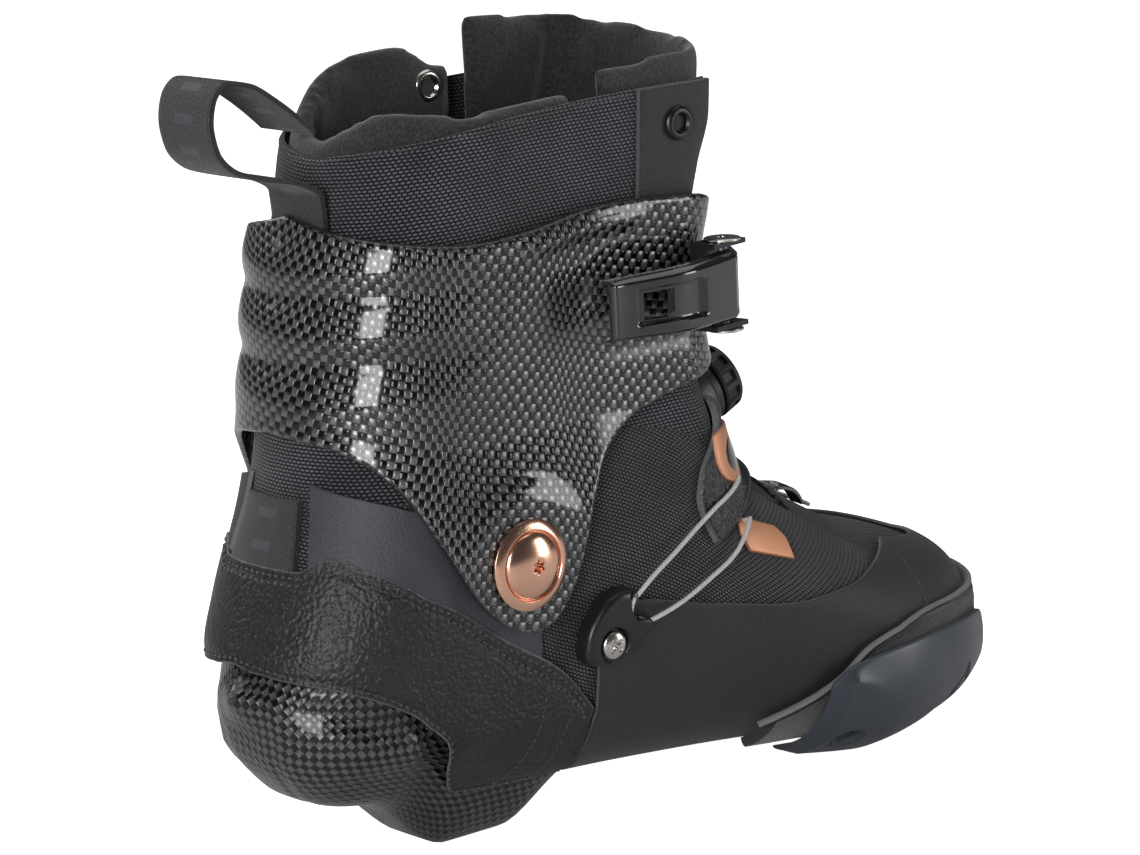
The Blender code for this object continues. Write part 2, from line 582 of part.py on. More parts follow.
cuff = panel("cuff", cuff_place, 54, 7, CUFF_IN, CUFF_OUT, "carbon_clear", hinge, cuff_flats)
for side, word, p in ((1, "lateral", pivot_point), (-1, "medial", pivot_inner)):
    seat = frame_on(p, (0, -side, 0))
    cut_with(cuff, "pivot_bore_" + word, seat, PIVOT_BORE, CUFF_IN - 3, CUFF_OUT + 3)
    turned("pivot_bush_" + word, [(2.2, CUFF_IN - 0.4), (PIVOT_BORE - FIT, CUFF_IN - 0.4),
                                  (PIVOT_BORE - FIT, CUFF_OUT + 0.1), (2.2, CUFF_OUT + 0.1)], seat, "steel", 24)
    top = CUFF_OUT + FIT
    turned("pivot_washer_" + word, [(4.4, top), (WASHER_RADIUS, top), (WASHER_RADIUS, top + 0.9),
                                    (WASHER_RADIUS - 0.9, top + 1.4), (WASHER_RADIUS - 3.0, top + 1.5),
                                    (WASHER_RADIUS - 3.6, top + 2.3), (5.4, top + 3.0), (4.4, top + 2.2)],
           seat, "copper", 20)
    turned("pivot_screw_" + word, [(0, top - 0.1), (4.0, top - 0.1), (4.0, top + 1.6), (3.2, top + 2.4),
                                   (1.6, top + 2.5), (1.4, top + 1.2), (0, top + 1.2)], seat, "copper", 20)

COLLAR_TOP = curve((0, 208), (40, 212), (80, 216), (130, 219), (153, 220))
panel("collar_mesh", lambda u, v: leg_at(blend(-153, 153, u), blend(128, COLLAR_TOP(np.abs(blend(-153, 153, u))), v)),
      30, 4, -SKIN - 1.0, -1.0, "mesh_fabric", hinge)


def lining_place(u, v):
    angle = blend(-130, 125, u)
    rim = COLLAR_TOP(np.abs(angle)) + 3 + 12 * smooth(-angle / 75) - 9 * smooth((-angle - 112) / 18)
    return leg_at(angle, blend(132, rim, v))


panel("collar_lining", lining_place, 26, 4, lambda u, v: -10.0 + 2.0 * smooth(v * 8 - 7), lambda u, v:
      -SKIN - 1.2 - GAP - 1.0 * smooth(v * 8 - 7), "neoprene", hinge)
panel("tongue_upper", lambda u, v: leg_at(blend(131, 225, u), blend(139, 233, v) + 6 * (2 * u - 1) * v), 12, 5,
      -9.4, -SKIN - 1.0 - GAP - 1.6, "neoprene", hinge)
for side, word in ((1, "lateral"), (-1, "medial")):
    panel("eyelet_tab_" + word, lambda u, v, s=side: leg_at(s * blend(141, 152.6, u), blend(170, 218.5, v)), 3, 6,
          -1.0 + GAP, 0.4, "microfibre", hinge)
RING = [(2.8, 0.0), (5.0, 0.0), (5.0, 0.5), (4.0, 1.2), (2.8, 0.9)]
p, n = leg_at(147.5, 208.0)
turned("eyelet_lateral", RING, frame_on(p, n, lift=0.4 + GAP + 0.3), "black_steel", 20, hinge)
p, n = leg_at(-122.0, 218.0)
turned("eyelet_medial", RING, frame_on(p, -n, lift=10.8), "steel", 20, hinge)

# ---- pull loop of webbing: up the back of the collar, out and round, and back down ----
LOOP_X = (36.9, 40.4, 40.5, 33.0, 22.5, 12.0, 6.5, 5.0, 6.5, 11.5, 19.0, 28.0, 35.0, 40.0)
LOOP_Z = (176.0, 190.0, 198.5, 203.5, 206.0, 209.5, 215.5, 223.0, 230.0, 234.0, 232.5, 227.0, 221.5, 217.0)
loop_x = curve(*zip(np.linspace(0, 1, 14), LOOP_X))
loop_z = curve(*zip(np.linspace(0, 1, 14), LOOP_Z))


def loop_place(u, v):
    x, z = loop_x(u), loop_z(u)
    dx, dz = loop_x(u + 0.004) - loop_x(u - 0.004), loop_z(u + 0.004) - loop_z(u - 0.004)
    run = np.hypot(dx, dz)
    back = curve((0, 1.0), (0.25, 0.0), (1, 0.0))(u)
    y = blend(-WEBBING_WIDTH / 2, WEBBING_WIDTH / 2, v)
    arc = 0.016 * (y ** 2) * back
    base = np.array([-3.6, 0, 0]) - ORIGIN + np.stack([x * SCALE[0] + arc, y, z * SCALE[2]], -1)
    return base, np.stack([-dz / run, 0 * x, dx / run], -1)


panel("pull_loop", loop_place, 26, 2, -0.8, 0.8, "webbing", hinge)

# ---- buckle on the cuff's outer front corner ----
strap_z = 160.0
p, n = leg_at(141.0, strap_z)
lean = np.radians(11)
buckle = frame_on(p, (np.sin(lean), -np.cos(lean), 0), (1, 0, 0), CUFF_OUT + 4.2)
panel("buckle_mount", lambda u, v: leg_at(blend(150, 164, u), strap_z + blend(-8, 8, v)), 5, 2, CUFF_OUT + GAP,
      CUFF_OUT + GAP + 1.0, "black_steel", hinge)


def local(x, y, z):
    return buckle @ Matrix.Translation(Vector((x, y, z)) * MM)


lever_axis = pivot("lever_axis", local(21, 0, 5.6).translation / MM)
bm = bmesh.new()
half = BUCKLE_WIDTH / 2
outline = [(-half, 0), (half, 0), (half, 9.0), (half - 1.5, 9.0), (half - 1.5, 1.6), (-half + 1.5, 1.6),
           (-half + 1.5, 9.0), (-half, 9.0)]
ring = [bm.verts.new(Vector((12.5, y, z)) * MM) for y, z in outline]
face = bm.faces.new(ring)
grown = bmesh.ops.extrude_face_region(bm, geom=[face])["geom"]
bmesh.ops.translate(bm, vec=Vector((15.5, 0, 0)) * MM, verts=[g for g in grown if isinstance(g, bmesh.types.BMVert)])
bmesh.ops.transform(bm, matrix=buckle, verts=bm.verts[:])
channel = finish("buckle_base", bm, "black_steel", hinge)
across = buckle @ Matrix.Translation(Vector((21, 0, 5.6)) * MM) @ Matrix.Rotation(np.pi / 2, 4, "X")
cut_with(channel, "axle_bore", across, 1.7, -half - 2, half + 2, 16)
turned("buckle_axle", [(0, -half - 0.8), (1.4, -half - 0.8), (1.4, half + 0.8), (0, half + 0.8)], across, "steel",
       14, hinge)


def lever_place(u, v):
    """Lever plate: from the rounded nose at the axle to the tapered free end behind it."""
    x = blend(24.0, -30.0, u)
    spread = blend(half - 2.0, half - 4.0, u)
    y = spread * blend(-1, 1, v)
    crown = 8.4 + 1.6 * np.sin(np.pi * np.clip(u, 0, 1)) - 6.0 * smooth((u - 0.45) / 0.55)
    point = np.stack([x, y, crown - 0.02 * y ** 2 * 0.4], -1)
    turn = np.array(buckle.to_3x3())
    origin = np.array(buckle.translation) / MM
    return point @ turn.T + origin, np.broadcast_to(turn[:, 2], point.shape)


lever = panel("buckle_lever", lever_place, 10, 3, 0.0, 2.6, "black_plastic", lever_axis)
window = block("window_cutter", (13.0, 10.0, 26.0), local(-13.0, 0, -4.0), "steel", 0, lever_axis)
window.hide_render = True
window.display_type = "WIRE"
opening = lever.modifiers.new("window", "BOOLEAN")
opening.operation = "DIFFERENCE"
opening.solver = "EXACT"
opening.object = window
block("buckle_pawl", (6.5, 10.0, 2.0), local(16.6, 0, 2.0), "black_steel", 0.3, hinge)


def strap_place(u, v):
    angle = blend(165, 236, u)
    return leg_at(angle, strap_z + STRAP_WIDTH / 2 * blend(-1, 1, v) + 0 * u)


strap = panel("ladder_strap", strap_place, 16, 1, CUFF_OUT + GAP + 0.2, CUFF_OUT + GAP + 2.0, "black_plastic", hinge)
p, n = leg_at(231.0, strap_z)
turned("strap_rivet", [(0, 0), (4.0, 0), (3.6, 1.2), (2.0, 1.9), (0, 2.0)],
       frame_on(p, n, lift=CUFF_OUT + GAP + 2.0 + GAP), "steel", 18, hinge)
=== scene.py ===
import bmesh
import bpy
import numpy as np
from mathutils import Matrix, Vector


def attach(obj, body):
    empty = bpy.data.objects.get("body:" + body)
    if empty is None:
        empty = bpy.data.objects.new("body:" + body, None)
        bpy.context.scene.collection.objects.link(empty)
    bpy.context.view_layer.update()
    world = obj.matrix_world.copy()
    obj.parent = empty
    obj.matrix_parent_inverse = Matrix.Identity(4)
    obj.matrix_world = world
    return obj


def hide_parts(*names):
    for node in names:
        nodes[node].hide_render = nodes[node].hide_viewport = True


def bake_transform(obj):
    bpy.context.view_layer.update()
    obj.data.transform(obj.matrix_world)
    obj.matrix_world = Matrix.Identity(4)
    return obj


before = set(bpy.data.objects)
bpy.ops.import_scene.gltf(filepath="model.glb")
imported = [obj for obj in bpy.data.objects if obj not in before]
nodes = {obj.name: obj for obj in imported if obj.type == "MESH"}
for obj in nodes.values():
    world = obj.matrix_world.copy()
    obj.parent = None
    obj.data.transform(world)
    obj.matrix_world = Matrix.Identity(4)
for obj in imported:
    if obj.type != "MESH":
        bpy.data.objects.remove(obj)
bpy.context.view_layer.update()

# ---- carbon sole shell ----
# Heel cup, shank and forefoot tray in one moulding of plain-weave carbon cloth under a satin resin.
# The heel stays bare and is sculpted; two steel inserts in its flat pads take the frame's bolts.
MM = 0.001
SPINE_REAR, SPINE_FRONT, SPINE_Z = 45.0, 235.0, 34.0     # line inside the foot that the panels are laid from
LEG_X = 85.0
ORIGIN = np.array([90.0, 0.0, 0.0])
HEEL_X, TOE_X = 7.0, 287.5


def curve(*stations):
    """Smooth curve through (position, value) stations that never overshoots them."""
    x, y = np.array(stations, float).T
    step = np.diff(x)
    slope = np.diff(y) / step
    tangent = np.zeros(len(x))
    tangent[0], tangent[-1] = slope[0], slope[-1]
    for i in range(1, len(x) - 1):
        if slope[i - 1] * slope[i] > 0:
            a, b = 2 * step[i] + step[i - 1], step[i] + 2 * step[i - 1]
            tangent[i] = (a + b) / (a / slope[i - 1] + b / slope[i])

    def value(t):
        t = np.clip(np.asarray(t, float), x[0], x[-1])
        i = np.clip(np.searchsorted(x, t) - 1, 0, len(x) - 2)
        s = (t - x[i]) / step[i]
        rise = (1 + 2 * s) * (1 - s) ** 2 * y[i] + s * s * (3 - 2 * s) * y[i + 1]
        return rise + step[i] * (s * (1 - s) ** 2 * tangent[i] + s * s * (s - 1) * tangent[i + 1])
    return value


TOP = curve((7, 60), (25, 100), (60, 125), (110, 128), (150, 116), (180, 101), (197, 91), (213, 80),
            (233, 69), (255, 62), (270, 55), (280.5, 46), (285.5, 39), (287.5, 34))
BOTTOM = curve((7, 56), (9, 44), (13, 33), (20, 25), (34, 20), (60, 17), (105, 16), (150, 13.5),
               (187, 11), (220, 9), (250, 11), (268, 17), (280.5, 25), (287.5, 34))
OUTER = curve((7, 2), (8, 9), (11, 16), (17, 23), (27, 29), (40, 32.5), (60, 35.5), (80, 38), (105, 40.5),
              (150, 45), (190, 50), (215, 51), (240, 46.5), (260, 37), (273, 25.5), (282, 13.5),
              (286, 5), (287.5, -4))
INNER = curve((7, 2), (8, 6), (11, 11), (17, 17.5), (27, 25), (40, 30), (60, 33.5), (80, 35.5), (105, 36.5),
              (150, 41), (190, 47.5), (215, 50), (240, 48.5), (258, 43), (272, 34), (282, 24),
              (286, 15.5), (287.5, 8))
LEG_BACK = curve((40, 10), (55, 8), (68, 8.5), (80, 13), (94, 19), (107, 23), (120, 25.5), (140, 29),
                 (165, 32.5), (178, 34.5), (190, 38), (205, 41), (218, 45), (232, 50))
LEG_FRONT = curve((40, 150), (80, 172), (100, 176), (112, 174), (125, 170), (140, 166), (160, 165),
                  (180, 167), (195, 171), (210, 177), (232, 178))
LEG_HALF = curve((40, 33), (60, 35.5), (80, 38.5), (92, 40), (108, 39), (128, 37), (150, 37.5), (175, 38.5),
                 (200, 39.5), (232, 40.5))
CREST = curve((7, 2.5), (105, 2.4), (150, 1.8), (205, 1.75), (235, 2.1), (262, 2.5))


def last(p):
    """Signed form of the last: below zero inside, zero on the upper's face."""
    x, y, z = p[..., 0], p[..., 1], p[..., 2]
    xc = np.clip(x, HEEL_X + 0.4, TOE_X - 0.4)
    outer, inner, top, bottom = OUTER(xc), INNER(xc), TOP(xc), BOTTOM(xc)
    half, middle = np.maximum((outer + inner) / 2, 1), (inner - outer) / 2
    rise, level = np.maximum((top - bottom) / 2, 1), (top + bottom) / 2
    power = np.where(z > level, CREST(xc), 3.0)
    oval = ((np.abs(y - middle) / half) ** power + (np.abs(z - level) / rise) ** power) ** (1 / power)
    foot = (oval - 1) * np.minimum(half, rise)
    foot = foot + np.maximum(np.maximum(x - TOE_X + 0.4, HEEL_X + 0.4 - x), 0)
    zc = np.clip(z, 40, 232)
    a, back, front = LEG_HALF(zc), LEG_BACK(zc), LEG_FRONT(zc)
    r = a * 0.95
    centre = np.clip(x, back + r, front - r * 0.6)
    along = np.where(x < back + r, r, r * 0.6)
    ring = ((np.abs(y) / a) ** 2.1 + (np.abs(x - centre) / along) ** 2.1) ** (1 / 2.1)
    leg = np.where(z < 40, np.maximum(ring - 1, 0), ring - 1) * a + np.maximum(40 - z, 0)
    mix = np.clip(0.5 + (leg - foot) / 28, 0, 1)
    return leg * (1 - mix) + foot * mix - 14 * mix * (1 - mix)


def cast(origin, way):
    """Where rays from inside leave the last, with the outward normal there."""
    origin, way = np.broadcast_arrays(np.asarray(origin, float), np.asarray(way, float))
    steps = np.linspace(0, 132, 27)
    outside = last(origin[..., None, :] + steps[:, None] * way[..., None, :]) > 0
    first = np.argmax(outside, axis=-1)
    low, high = steps[np.maximum(first - 1, 0)], steps[first]
    for _ in range(11):
        mid = (low + high) / 2
        inside = last(origin + mid[..., None] * way) < 0
        low, high = np.where(inside, mid, low), np.where(inside, high, mid)
    p = origin + low[..., None] * way
    axes = np.eye(3) * 0.05
    slope = np.stack([last(p + e) - last(p - e) for e in axes], -1)
    return p - ORIGIN, slope / np.linalg.norm(slope, axis=-1, keepdims=True)


def around(q, v):
    """Loop round the foot.  q: 0 heel, 1 to 3 outer side, 4 toe, negative on the inner side.
    v: mm above the spine, or degrees below it when negative."""
    q, v = np.broadcast_arrays(np.asarray(q, float), np.asarray(v, float))
    side, a = np.sign(q), np.abs(q)
    x = SPINE_REAR + (SPINE_FRONT - SPINE_REAR) * np.clip((a - 1) / 2, 0, 1)
    turn = np.radians(90 * np.where(a < 1, a, np.where(a > 3, 4 - a, 1)))
    fore = np.where(a < 1, -np.cos(turn), np.where(a > 3, np.cos(turn), 0))
    across = -side * np.sin(turn)
    tilt = np.radians(np.minimum(v, 0))
    way = np.stack([fore * np.cos(tilt), across * np.cos(tilt), np.sin(tilt)], -1)
    return cast(np.stack([x, 0 * x, SPINE_Z + np.maximum(v, 0)], -1), way)


def mixed(low, high, t):
    return low + (high - low) * t


def smooth(t):
    t = np.clip(t, 0, 1)
    return t * t * (3 - 2 * t)


def bump_at(t, centre, width):
    """Bell of height 1 round the centre."""
    return np.exp(-((t - centre) / width) ** 2)


def made(name, bm, finish, body, slot, *stands_for, sharp=38):
    """Finished piece from a bmesh: normals out, smooth with sharp creases, riding on its body."""
    bmesh.ops.recalc_face_normals(bm, faces=bm.faces[:])
    mesh = bpy.data.meshes.new(name)
    bm.to_mesh(mesh)
    bm.free()
    mesh.shade_smooth()
    mesh.set_sharp_from_angle(angle=np.radians(sharp))
    mesh.materials.append(finish)
    piece = bpy.data.objects.new(name, mesh)
    bpy.context.scene.collection.objects.link(piece)
    if body:
        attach(piece, body)
    if stands_for:
        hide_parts(*stands_for)
    return piece


def laid(place, columns, rows, low, high, edge=0.8, loop=False, pole=False, fold=False, level=False,
         shape=None, hole=None):
    """Panel on the last: a fine grid put there by place(u, v), from low to high mm off its face, with a
    rolled edge.  Its UV map is in metres along the cloth, and its rim attribute is 1 on the cut edge.
    loop joins the first and last columns, pole shrinks the first row to a point, and fold joins the last
    row to itself.  A level chart keeps its rows at their true height."""
    def borders(cells, length, first, second):
        e = min(edge / length, 0.15)
        near, far = e * np.array([0, 0.12, 0.45]), 1 - e * np.array([0.45, 0.12, 0])
        inside = cells + 1 - 3 * (first + second)
        middle = np.linspace(e if first else 0, 1 - e if second else 1, inside)
        return np.concatenate([near if first else [], middle, far if second else []])

    bm = bmesh.new()
    bmesh.ops.create_grid(bm, x_segments=columns, y_segments=rows, size=1.0)
    cell = np.rint((np.array([v.co[:2] for v in bm.verts]) / 2 + 0.5) * (columns, rows)).astype(int)
    probe = np.linspace(0, 1, 21)
    wide = np.linalg.norm(np.diff(place(probe, 0.5 + 0 * probe)[0], axis=0), axis=1).sum()
    tall = np.linalg.norm(np.diff(place(0.5 + 0 * probe, probe)[0], axis=0), axis=1).sum()
    u = borders(columns, wide, not loop, not loop)[cell[:, 0]]
    v = borders(rows, tall, not pole, not fold)[cell[:, 1]]
    point, normal = place(u, v)
    inset_u = np.inf if loop else np.minimum(u, 1 - u) * wide
    inset_v = (1 - v) * tall if pole else v * tall if fold else np.minimum(v, 1 - v) * tall
    rim = np.clip(1 - np.minimum(inset_u, inset_v) / edge, 0, 1)
    sheets = []
    for top, height in ((False, low), (True, high)):
        lift = height(u, v) if callable(height) else height + 0 * u
        if top:
            lift = lift - (lift - bottom) * 0.7 * (1 - np.sqrt(1 - rim ** 2))
        bottom = lift
        sheet = point + normal * lift[:, None]
        sheets.append(shape(sheet, top) if shape else sheet)
    field = np.zeros((rows + 1, columns + 1, 3))
    field[cell[:, 1], cell[:, 0]] = sheets[1]
    run = [np.cumsum(np.linalg.norm(np.diff(field, axis=a, prepend=field[:, :1] if a else field[:1]),
                                    axis=2), axis=a) for a in (1, 0)]
    along = run[0] - run[0][:, columns // 2][:, None]
    up = run[1] - run[1][rows // 2]
    if level:
        along, up = np.broadcast_to(along[rows // 2], along.shape), field[..., 2]
    flat = np.stack([along, up], -1)[cell[:, 1], cell[:, 0]] * MM
    order = bm.verts.layers.int.new("order")
    cut = bm.verts.layers.float.new("rim")
    for i, vert in enumerate(bm.verts):
        vert[order] = i
        vert[cut] = rim[i]
        vert.co = sheets[0][i] * MM
    if hole:
        inside = hole(u, v)
        bmesh.ops.delete(bm, geom=[f for f in bm.faces if all(inside[v[order]] for v in f.verts)],
                         context="FACES")
    grown = bmesh.ops.extrude_face_region(bm, geom=bm.faces[:], use_keep_orig=True)["geom"]
    for vert in grown:
        if isinstance(vert, bmesh.types.BMVert):
            vert.co = sheets[1][vert[order]] * MM
    chart = bm.loops.layers.uv.new("UVMap")
    for face in bm.faces:
        for corner in face.loops:
            corner[chart].uv = flat[corner.vert[order]]
    if loop:
        seam_walls = [f for f in bm.faces if len({cell[v[order], 0] % columns for v in f.verts}) == 1]
        bmesh.ops.delete(bm, geom=seam_walls, context="FACES_ONLY")
    if fold:
        fold_walls = [f for f in bm.faces if all(cell[v[order], 1] == rows for v in f.verts)]
        bmesh.ops.delete(bm, geom=fold_walls, context="FACES_ONLY")
    bmesh.ops.remove_doubles(bm, verts=bm.verts[:], dist=0.00002 if fold else 0.000004)
    bmesh.ops.dissolve_degenerate(bm, dist=0.000003, edges=bm.edges[:])
    return bm


def node(tree, kind, *values, **settings):
    """New shader node: settings are its own properties, and values go to its inputs in order."""
    new = tree.nodes.new(kind)
    for key, setting in settings.items():
        setattr(new, key, setting)
    for socket, value in zip(new.inputs, values):
        if isinstance(value, bpy.types.NodeSocket):
            tree.links.new(value, socket)
        elif value is not None:
            socket.default_value = value
    return new


def calc(tree, operation, *values):
    return node(tree, "ShaderNodeMath", *values, operation=operation).outputs[0]


def add(tree, first, second):
    return calc(tree, "ADD", first, second)


def less(tree, first, second):
    return calc(tree, "SUBTRACT", first, second)


def times(tree, first, second):
    return calc(tree, "MULTIPLY", first, second)


def tint(tree, amount, low, high):
    """Colour between two, by a mask."""
    mix = node(tree, "ShaderNodeMix", data_type="RGBA")
    for socket, value in ((mix.inputs[0], amount), (mix.inputs[6], low), (mix.inputs[7], high)):
        if isinstance(value, bpy.types.NodeSocket):
            tree.links.new(value, socket)
        else:
            socket.default_value = value if isinstance(value, float) else (*value, 1)
    return mix.outputs[2]


def scaled(tree, value, low, high):
    """A mask from 0 to 1 brought to the range from low to high."""
    return node(tree, "ShaderNodeMapRange", value, 0.0, 1.0, low, high).outputs[0]


def effect(name, inputs, outputs):
    """Shader node group with named sockets; returns its tree, its inputs and its output node."""
    tree = bpy.data.node_groups.new(name, "ShaderNodeTree")
    for key in inputs:
        kind = "NodeSocketVector" if key == "Vector" else "NodeSocketFloat"
        tree.interface.new_socket(key, in_out="INPUT", socket_type=kind)
    for key in outputs:
        tree.interface.new_socket(key, in_out="OUTPUT", socket_type="NodeSocketFloat")
    return tree, tree.nodes.new("NodeGroupInput").outputs, tree.nodes.new("NodeGroupOutput")


def use(tree, group, *values):
    """Places a node group in a material and returns its outputs."""
    new = tree.nodes.new("ShaderNodeGroup")
    new.node_tree = group
    for socket, value in zip(new.inputs, values):
        if isinstance(value, bpy.types.NodeSocket):
            tree.links.new(value, socket)
        else:
            socket.default_value = value
    return new.outputs


def surface(name, **constants):
    """New material; constants go straight to the shader's own sockets."""
    material = bpy.data.materials.new(name)
    material.use_nodes = True
    tree = material.node_tree
    shader = tree.nodes["Principled BSDF"]
    for key, value in constants.items():
        shader.inputs[key.replace("_", " ").title().replace("Ior", "IOR")].default_value = value
    return material, tree, shader


def relief(tree, shader, height, distance, strength=1.0):
    """Bump of a height mask, in metres, feeding the shader's normal."""
    rise = node(tree, "ShaderNodeBump")
    rise.inputs["Strength"].default_value = strength
    rise.inputs["Distance"].default_value = distance
    tree.links.new(height, rise.inputs["Height"])
    tree.links.new(rise.outputs[0], shader.inputs["Normal"])


def chart_of(tree, turn=0.0):
    """The piece's own UV map in metres, turned by an angle in degrees."""
    uv = node(tree, "ShaderNodeUVMap", uv_map="UVMap").outputs[0]
    return node(tree, "ShaderNodeMapping", uv, (0, 0, 0), (0, 0, np.radians(turn))).outputs[0]


def place_of(tree):
    return tree.nodes.new("ShaderNodeTexCoord").outputs["Object"]


def rim_of(tree):
    return node(tree, "ShaderNodeAttribute", attribute_name="rim").outputs["Fac"]


# plain weave of flat tows: Height of the humps, Over where the warp lies on top, Fibre along each tow
TOW_WEAVE, given, result = effect("tow_weave", ("Vector", "Cell"), ("Height", "Over", "Fibre"))
parts = node(TOW_WEAVE, "ShaderNodeSeparateXYZ", given["Vector"])
wander = node(TOW_WEAVE, "ShaderNodeTexNoise", given["Vector"], None, 55.0, 1.0).outputs["Fac"]
wander = times(TOW_WEAVE, less(TOW_WEAVE, wander, 0.5), 0.7)
grid = [add(TOW_WEAVE, calc(TOW_WEAVE, "DIVIDE", parts.outputs[i], given["Cell"]), wander) for i in (0, 1)]
whole = [calc(TOW_WEAVE, "FLOOR", g) for g in grid]
across = [less(TOW_WEAVE, less(TOW_WEAVE, g, w), 0.5) for g, w in zip(grid, whole)]
over_warp = calc(TOW_WEAVE, "FLOORED_MODULO", add(TOW_WEAVE, *whole), 2.0)
under_warp = less(TOW_WEAVE, 1.0, over_warp)


def chosen(tree, mask, spare, when_on, when_off):
    return add(tree, times(tree, mask, when_on), times(tree, spare, when_off))


side_way = chosen(TOW_WEAVE, over_warp, under_warp, across[0], across[1])
long_way = chosen(TOW_WEAVE, over_warp, under_warp, across[1], across[0])
crown = calc(TOW_WEAVE, "COSINE", times(TOW_WEAVE, long_way, 2.9))
flank_fall = calc(TOW_WEAVE, "POWER", calc(TOW_WEAVE, "ABSOLUTE", times(TOW_WEAVE, side_way, 2.0)), 4.0)
strand = calc(TOW_WEAVE, "SINE", times(TOW_WEAVE, side_way, 75.0))
height = times(TOW_WEAVE, add(TOW_WEAVE, times(TOW_WEAVE, crown, 0.6), 0.4),
               less(TOW_WEAVE, 1.0, times(TOW_WEAVE, flank_fall, 0.7)))
TOW_WEAVE.links.new(height, result.inputs["Height"])
TOW_WEAVE.links.new(over_warp, result.inputs["Over"])
TOW_WEAVE.links.new(strand, result.inputs["Fibre"])

# handling marks that every finish shares: Cloud is slow variation, Speck is dust and small scuffs
HANDLED, given, result = effect("handled", ("Vector", "Scale"), ("Cloud", "Speck"))
slow = node(HANDLED, "ShaderNodeTexNoise", given["Vector"], None, given["Scale"], 3.0, 0.55).outputs["Fac"]
fine_scale = times(HANDLED, given["Scale"], 22.0)
fine = node(HANDLED, "ShaderNodeTexNoise", given["Vector"], None, fine_scale, 2.0, 0.6).outputs["Fac"]
HANDLED.links.new(node(HANDLED, "ShaderNodeMapRange", slow, 0.3, 0.7, 0.0, 1.0).outputs[0],
                  result.inputs["Cloud"])
HANDLED.links.new(node(HANDLED, "ShaderNodeMapRange", fine, 0.66, 0.74, 0.0, 1.0).outputs[0],
                  result.inputs["Speck"])


def carbon(name, cell, turn, dark, light, rough, coat, depth):
    """Woven carbon under resin: flat tows show through, painted lighter where they lie on top and at their
    crowns as a painted sheen, and the cut edge is bare grey resin.
    """
    material, tree, shader = surface(name, metallic=0.5, coat_weight=coat, coat_roughness=0.08, coat_ior=1.5,
                                     specular_ior_level=0.6)
    chart = chart_of(tree, turn)
    height, over, fibre = use(tree, TOW_WEAVE, chart, cell)[:3]
    cloud, speck = use(tree, HANDLED, place_of(tree), 30.0)[:2]
    # painted sheen: tows on top painted lighter, most at their crowns, varied by the slow cloud, with faint
    # fibre lines
    painted_tow_sheen = times(tree, over, scaled(tree, height, 0.25, 1.0))
    painted_tow_sheen = times(tree, painted_tow_sheen, scaled(tree, cloud, 0.55, 1.2))
    painted_tow_sheen = add(tree, painted_tow_sheen, times(tree, fibre, 0.05))
    woven = tint(tree, painted_tow_sheen, dark, light)
    resin = tint(tree, speck, (0.03, 0.031, 0.034), (0.07, 0.07, 0.07))
    tree.links.new(tint(tree, rim_of(tree), woven, resin), shader.inputs["Base Color"])
    tree.links.new(scaled(tree, over, rough, rough + 0.14), shader.inputs["Roughness"])
    relief(tree, shader, height, depth)
    return material


# the lighter colour here is the painted sheen on the tows that lie on top
carbon_satin = carbon("carbon_satin", 0.0021, 38, (0.004, 0.004, 0.0045), (0.11, 0.112, 0.12), 0.24, 0.3,
                      0.0003)
SKIN, GAP, SHELL_WALL = 1.1, 0.8, 2.2
UNDER = -SKIN - GAP - 0.6
RIM = curve((0, 41), (0.6, 41), (1.0, 48), (1.34, 66), (1.6, 44), (2.0, 16), (3.0, 6), (4.0, 3))
UPPER_FOOT = curve((0, 33), (0.5, 29), (0.85, 20), (1.07, 8), (1.2, -14), (4.0, -14))


def shell_level(q, v):
    return np.where(v < 0.3, RIM(q) * (1 - v / 0.3), -(v - 0.3) / 0.7 * 90)


def shell_outer(u, v):
    """The heel cup comes flush with the upper, with a scooped pocket below the leather and a keel crease."""
    q = np.abs(mixed(-4, 4, u))
    level = shell_level(q, v)
    bare = smooth((UPPER_FOOT(q) - 2 - level) / 8) * smooth((1.1 - q) / 0.15)
    below = UPPER_FOOT(q) - level
    pocket = 2.3 * smooth((below - 4.5) / 3.0) * smooth((q - 0.2) / 0.25) * smooth((1.02 - q) / 0.2)
    pocket = pocket * smooth((15.5 - 7 * smooth((q - 0.75) / 0.3) - below) / 7)
    crease = 0.5 * bump_at(q, 0.2, 0.035) * smooth((20 - level) / 12)
    return UNDER * (1 - bare) - (pocket + crease) * bare


HEEL_PAD, FRONT_PAD = (81, 42, 29), (228, 42, 30)        # centre, half length and half width, with the ramps
PAD_END_RAMP, PAD_SIDE_RAMP, INSERT_HOLE = 32, 21, 5.2


def shell_pads(p, top):
    """Flat mounting pads at the ground that run out smoothly into the sole."""
    if top:
        weight = 0 * p[:, 0]
        for centre, length, width in (HEEL_PAD, FRONT_PAD):
            ends = smooth((length - np.abs(p[:, 0] + ORIGIN[0] - centre)) / PAD_END_RAMP)
            weight = np.maximum(weight, ends * smooth((width - np.abs(p[:, 1])) / PAD_SIDE_RAMP))
        weight = np.where(p[:, 2] < 30, weight, 0)
        p[:, 2] = np.where(weight > 0.999, 0, p[:, 2] * (1 - weight))
    return p


shell = laid(lambda u, v: around(mixed(-4, 4, u), shell_level(np.abs(mixed(-4, 4, u)), v)), 260, 64,
             UNDER - SHELL_WALL, shell_outer, loop=True, fold=True, shape=shell_pads)
for x in (79.0, 228.0):
    pads = [f for f in shell.faces if f.calc_center_median().z < 0.0022 and abs(f.normal.z) > 0.9
            and (f.calc_center_median() - Vector(((x - ORIGIN[0]) * MM, 0, 0))).length < INSERT_HOLE * MM]
    bmesh.ops.delete(shell, geom=pads, context="FACES")
made("carbon_sole", shell, carbon_satin, "boot", "carbon_satin", "carbon_shell")


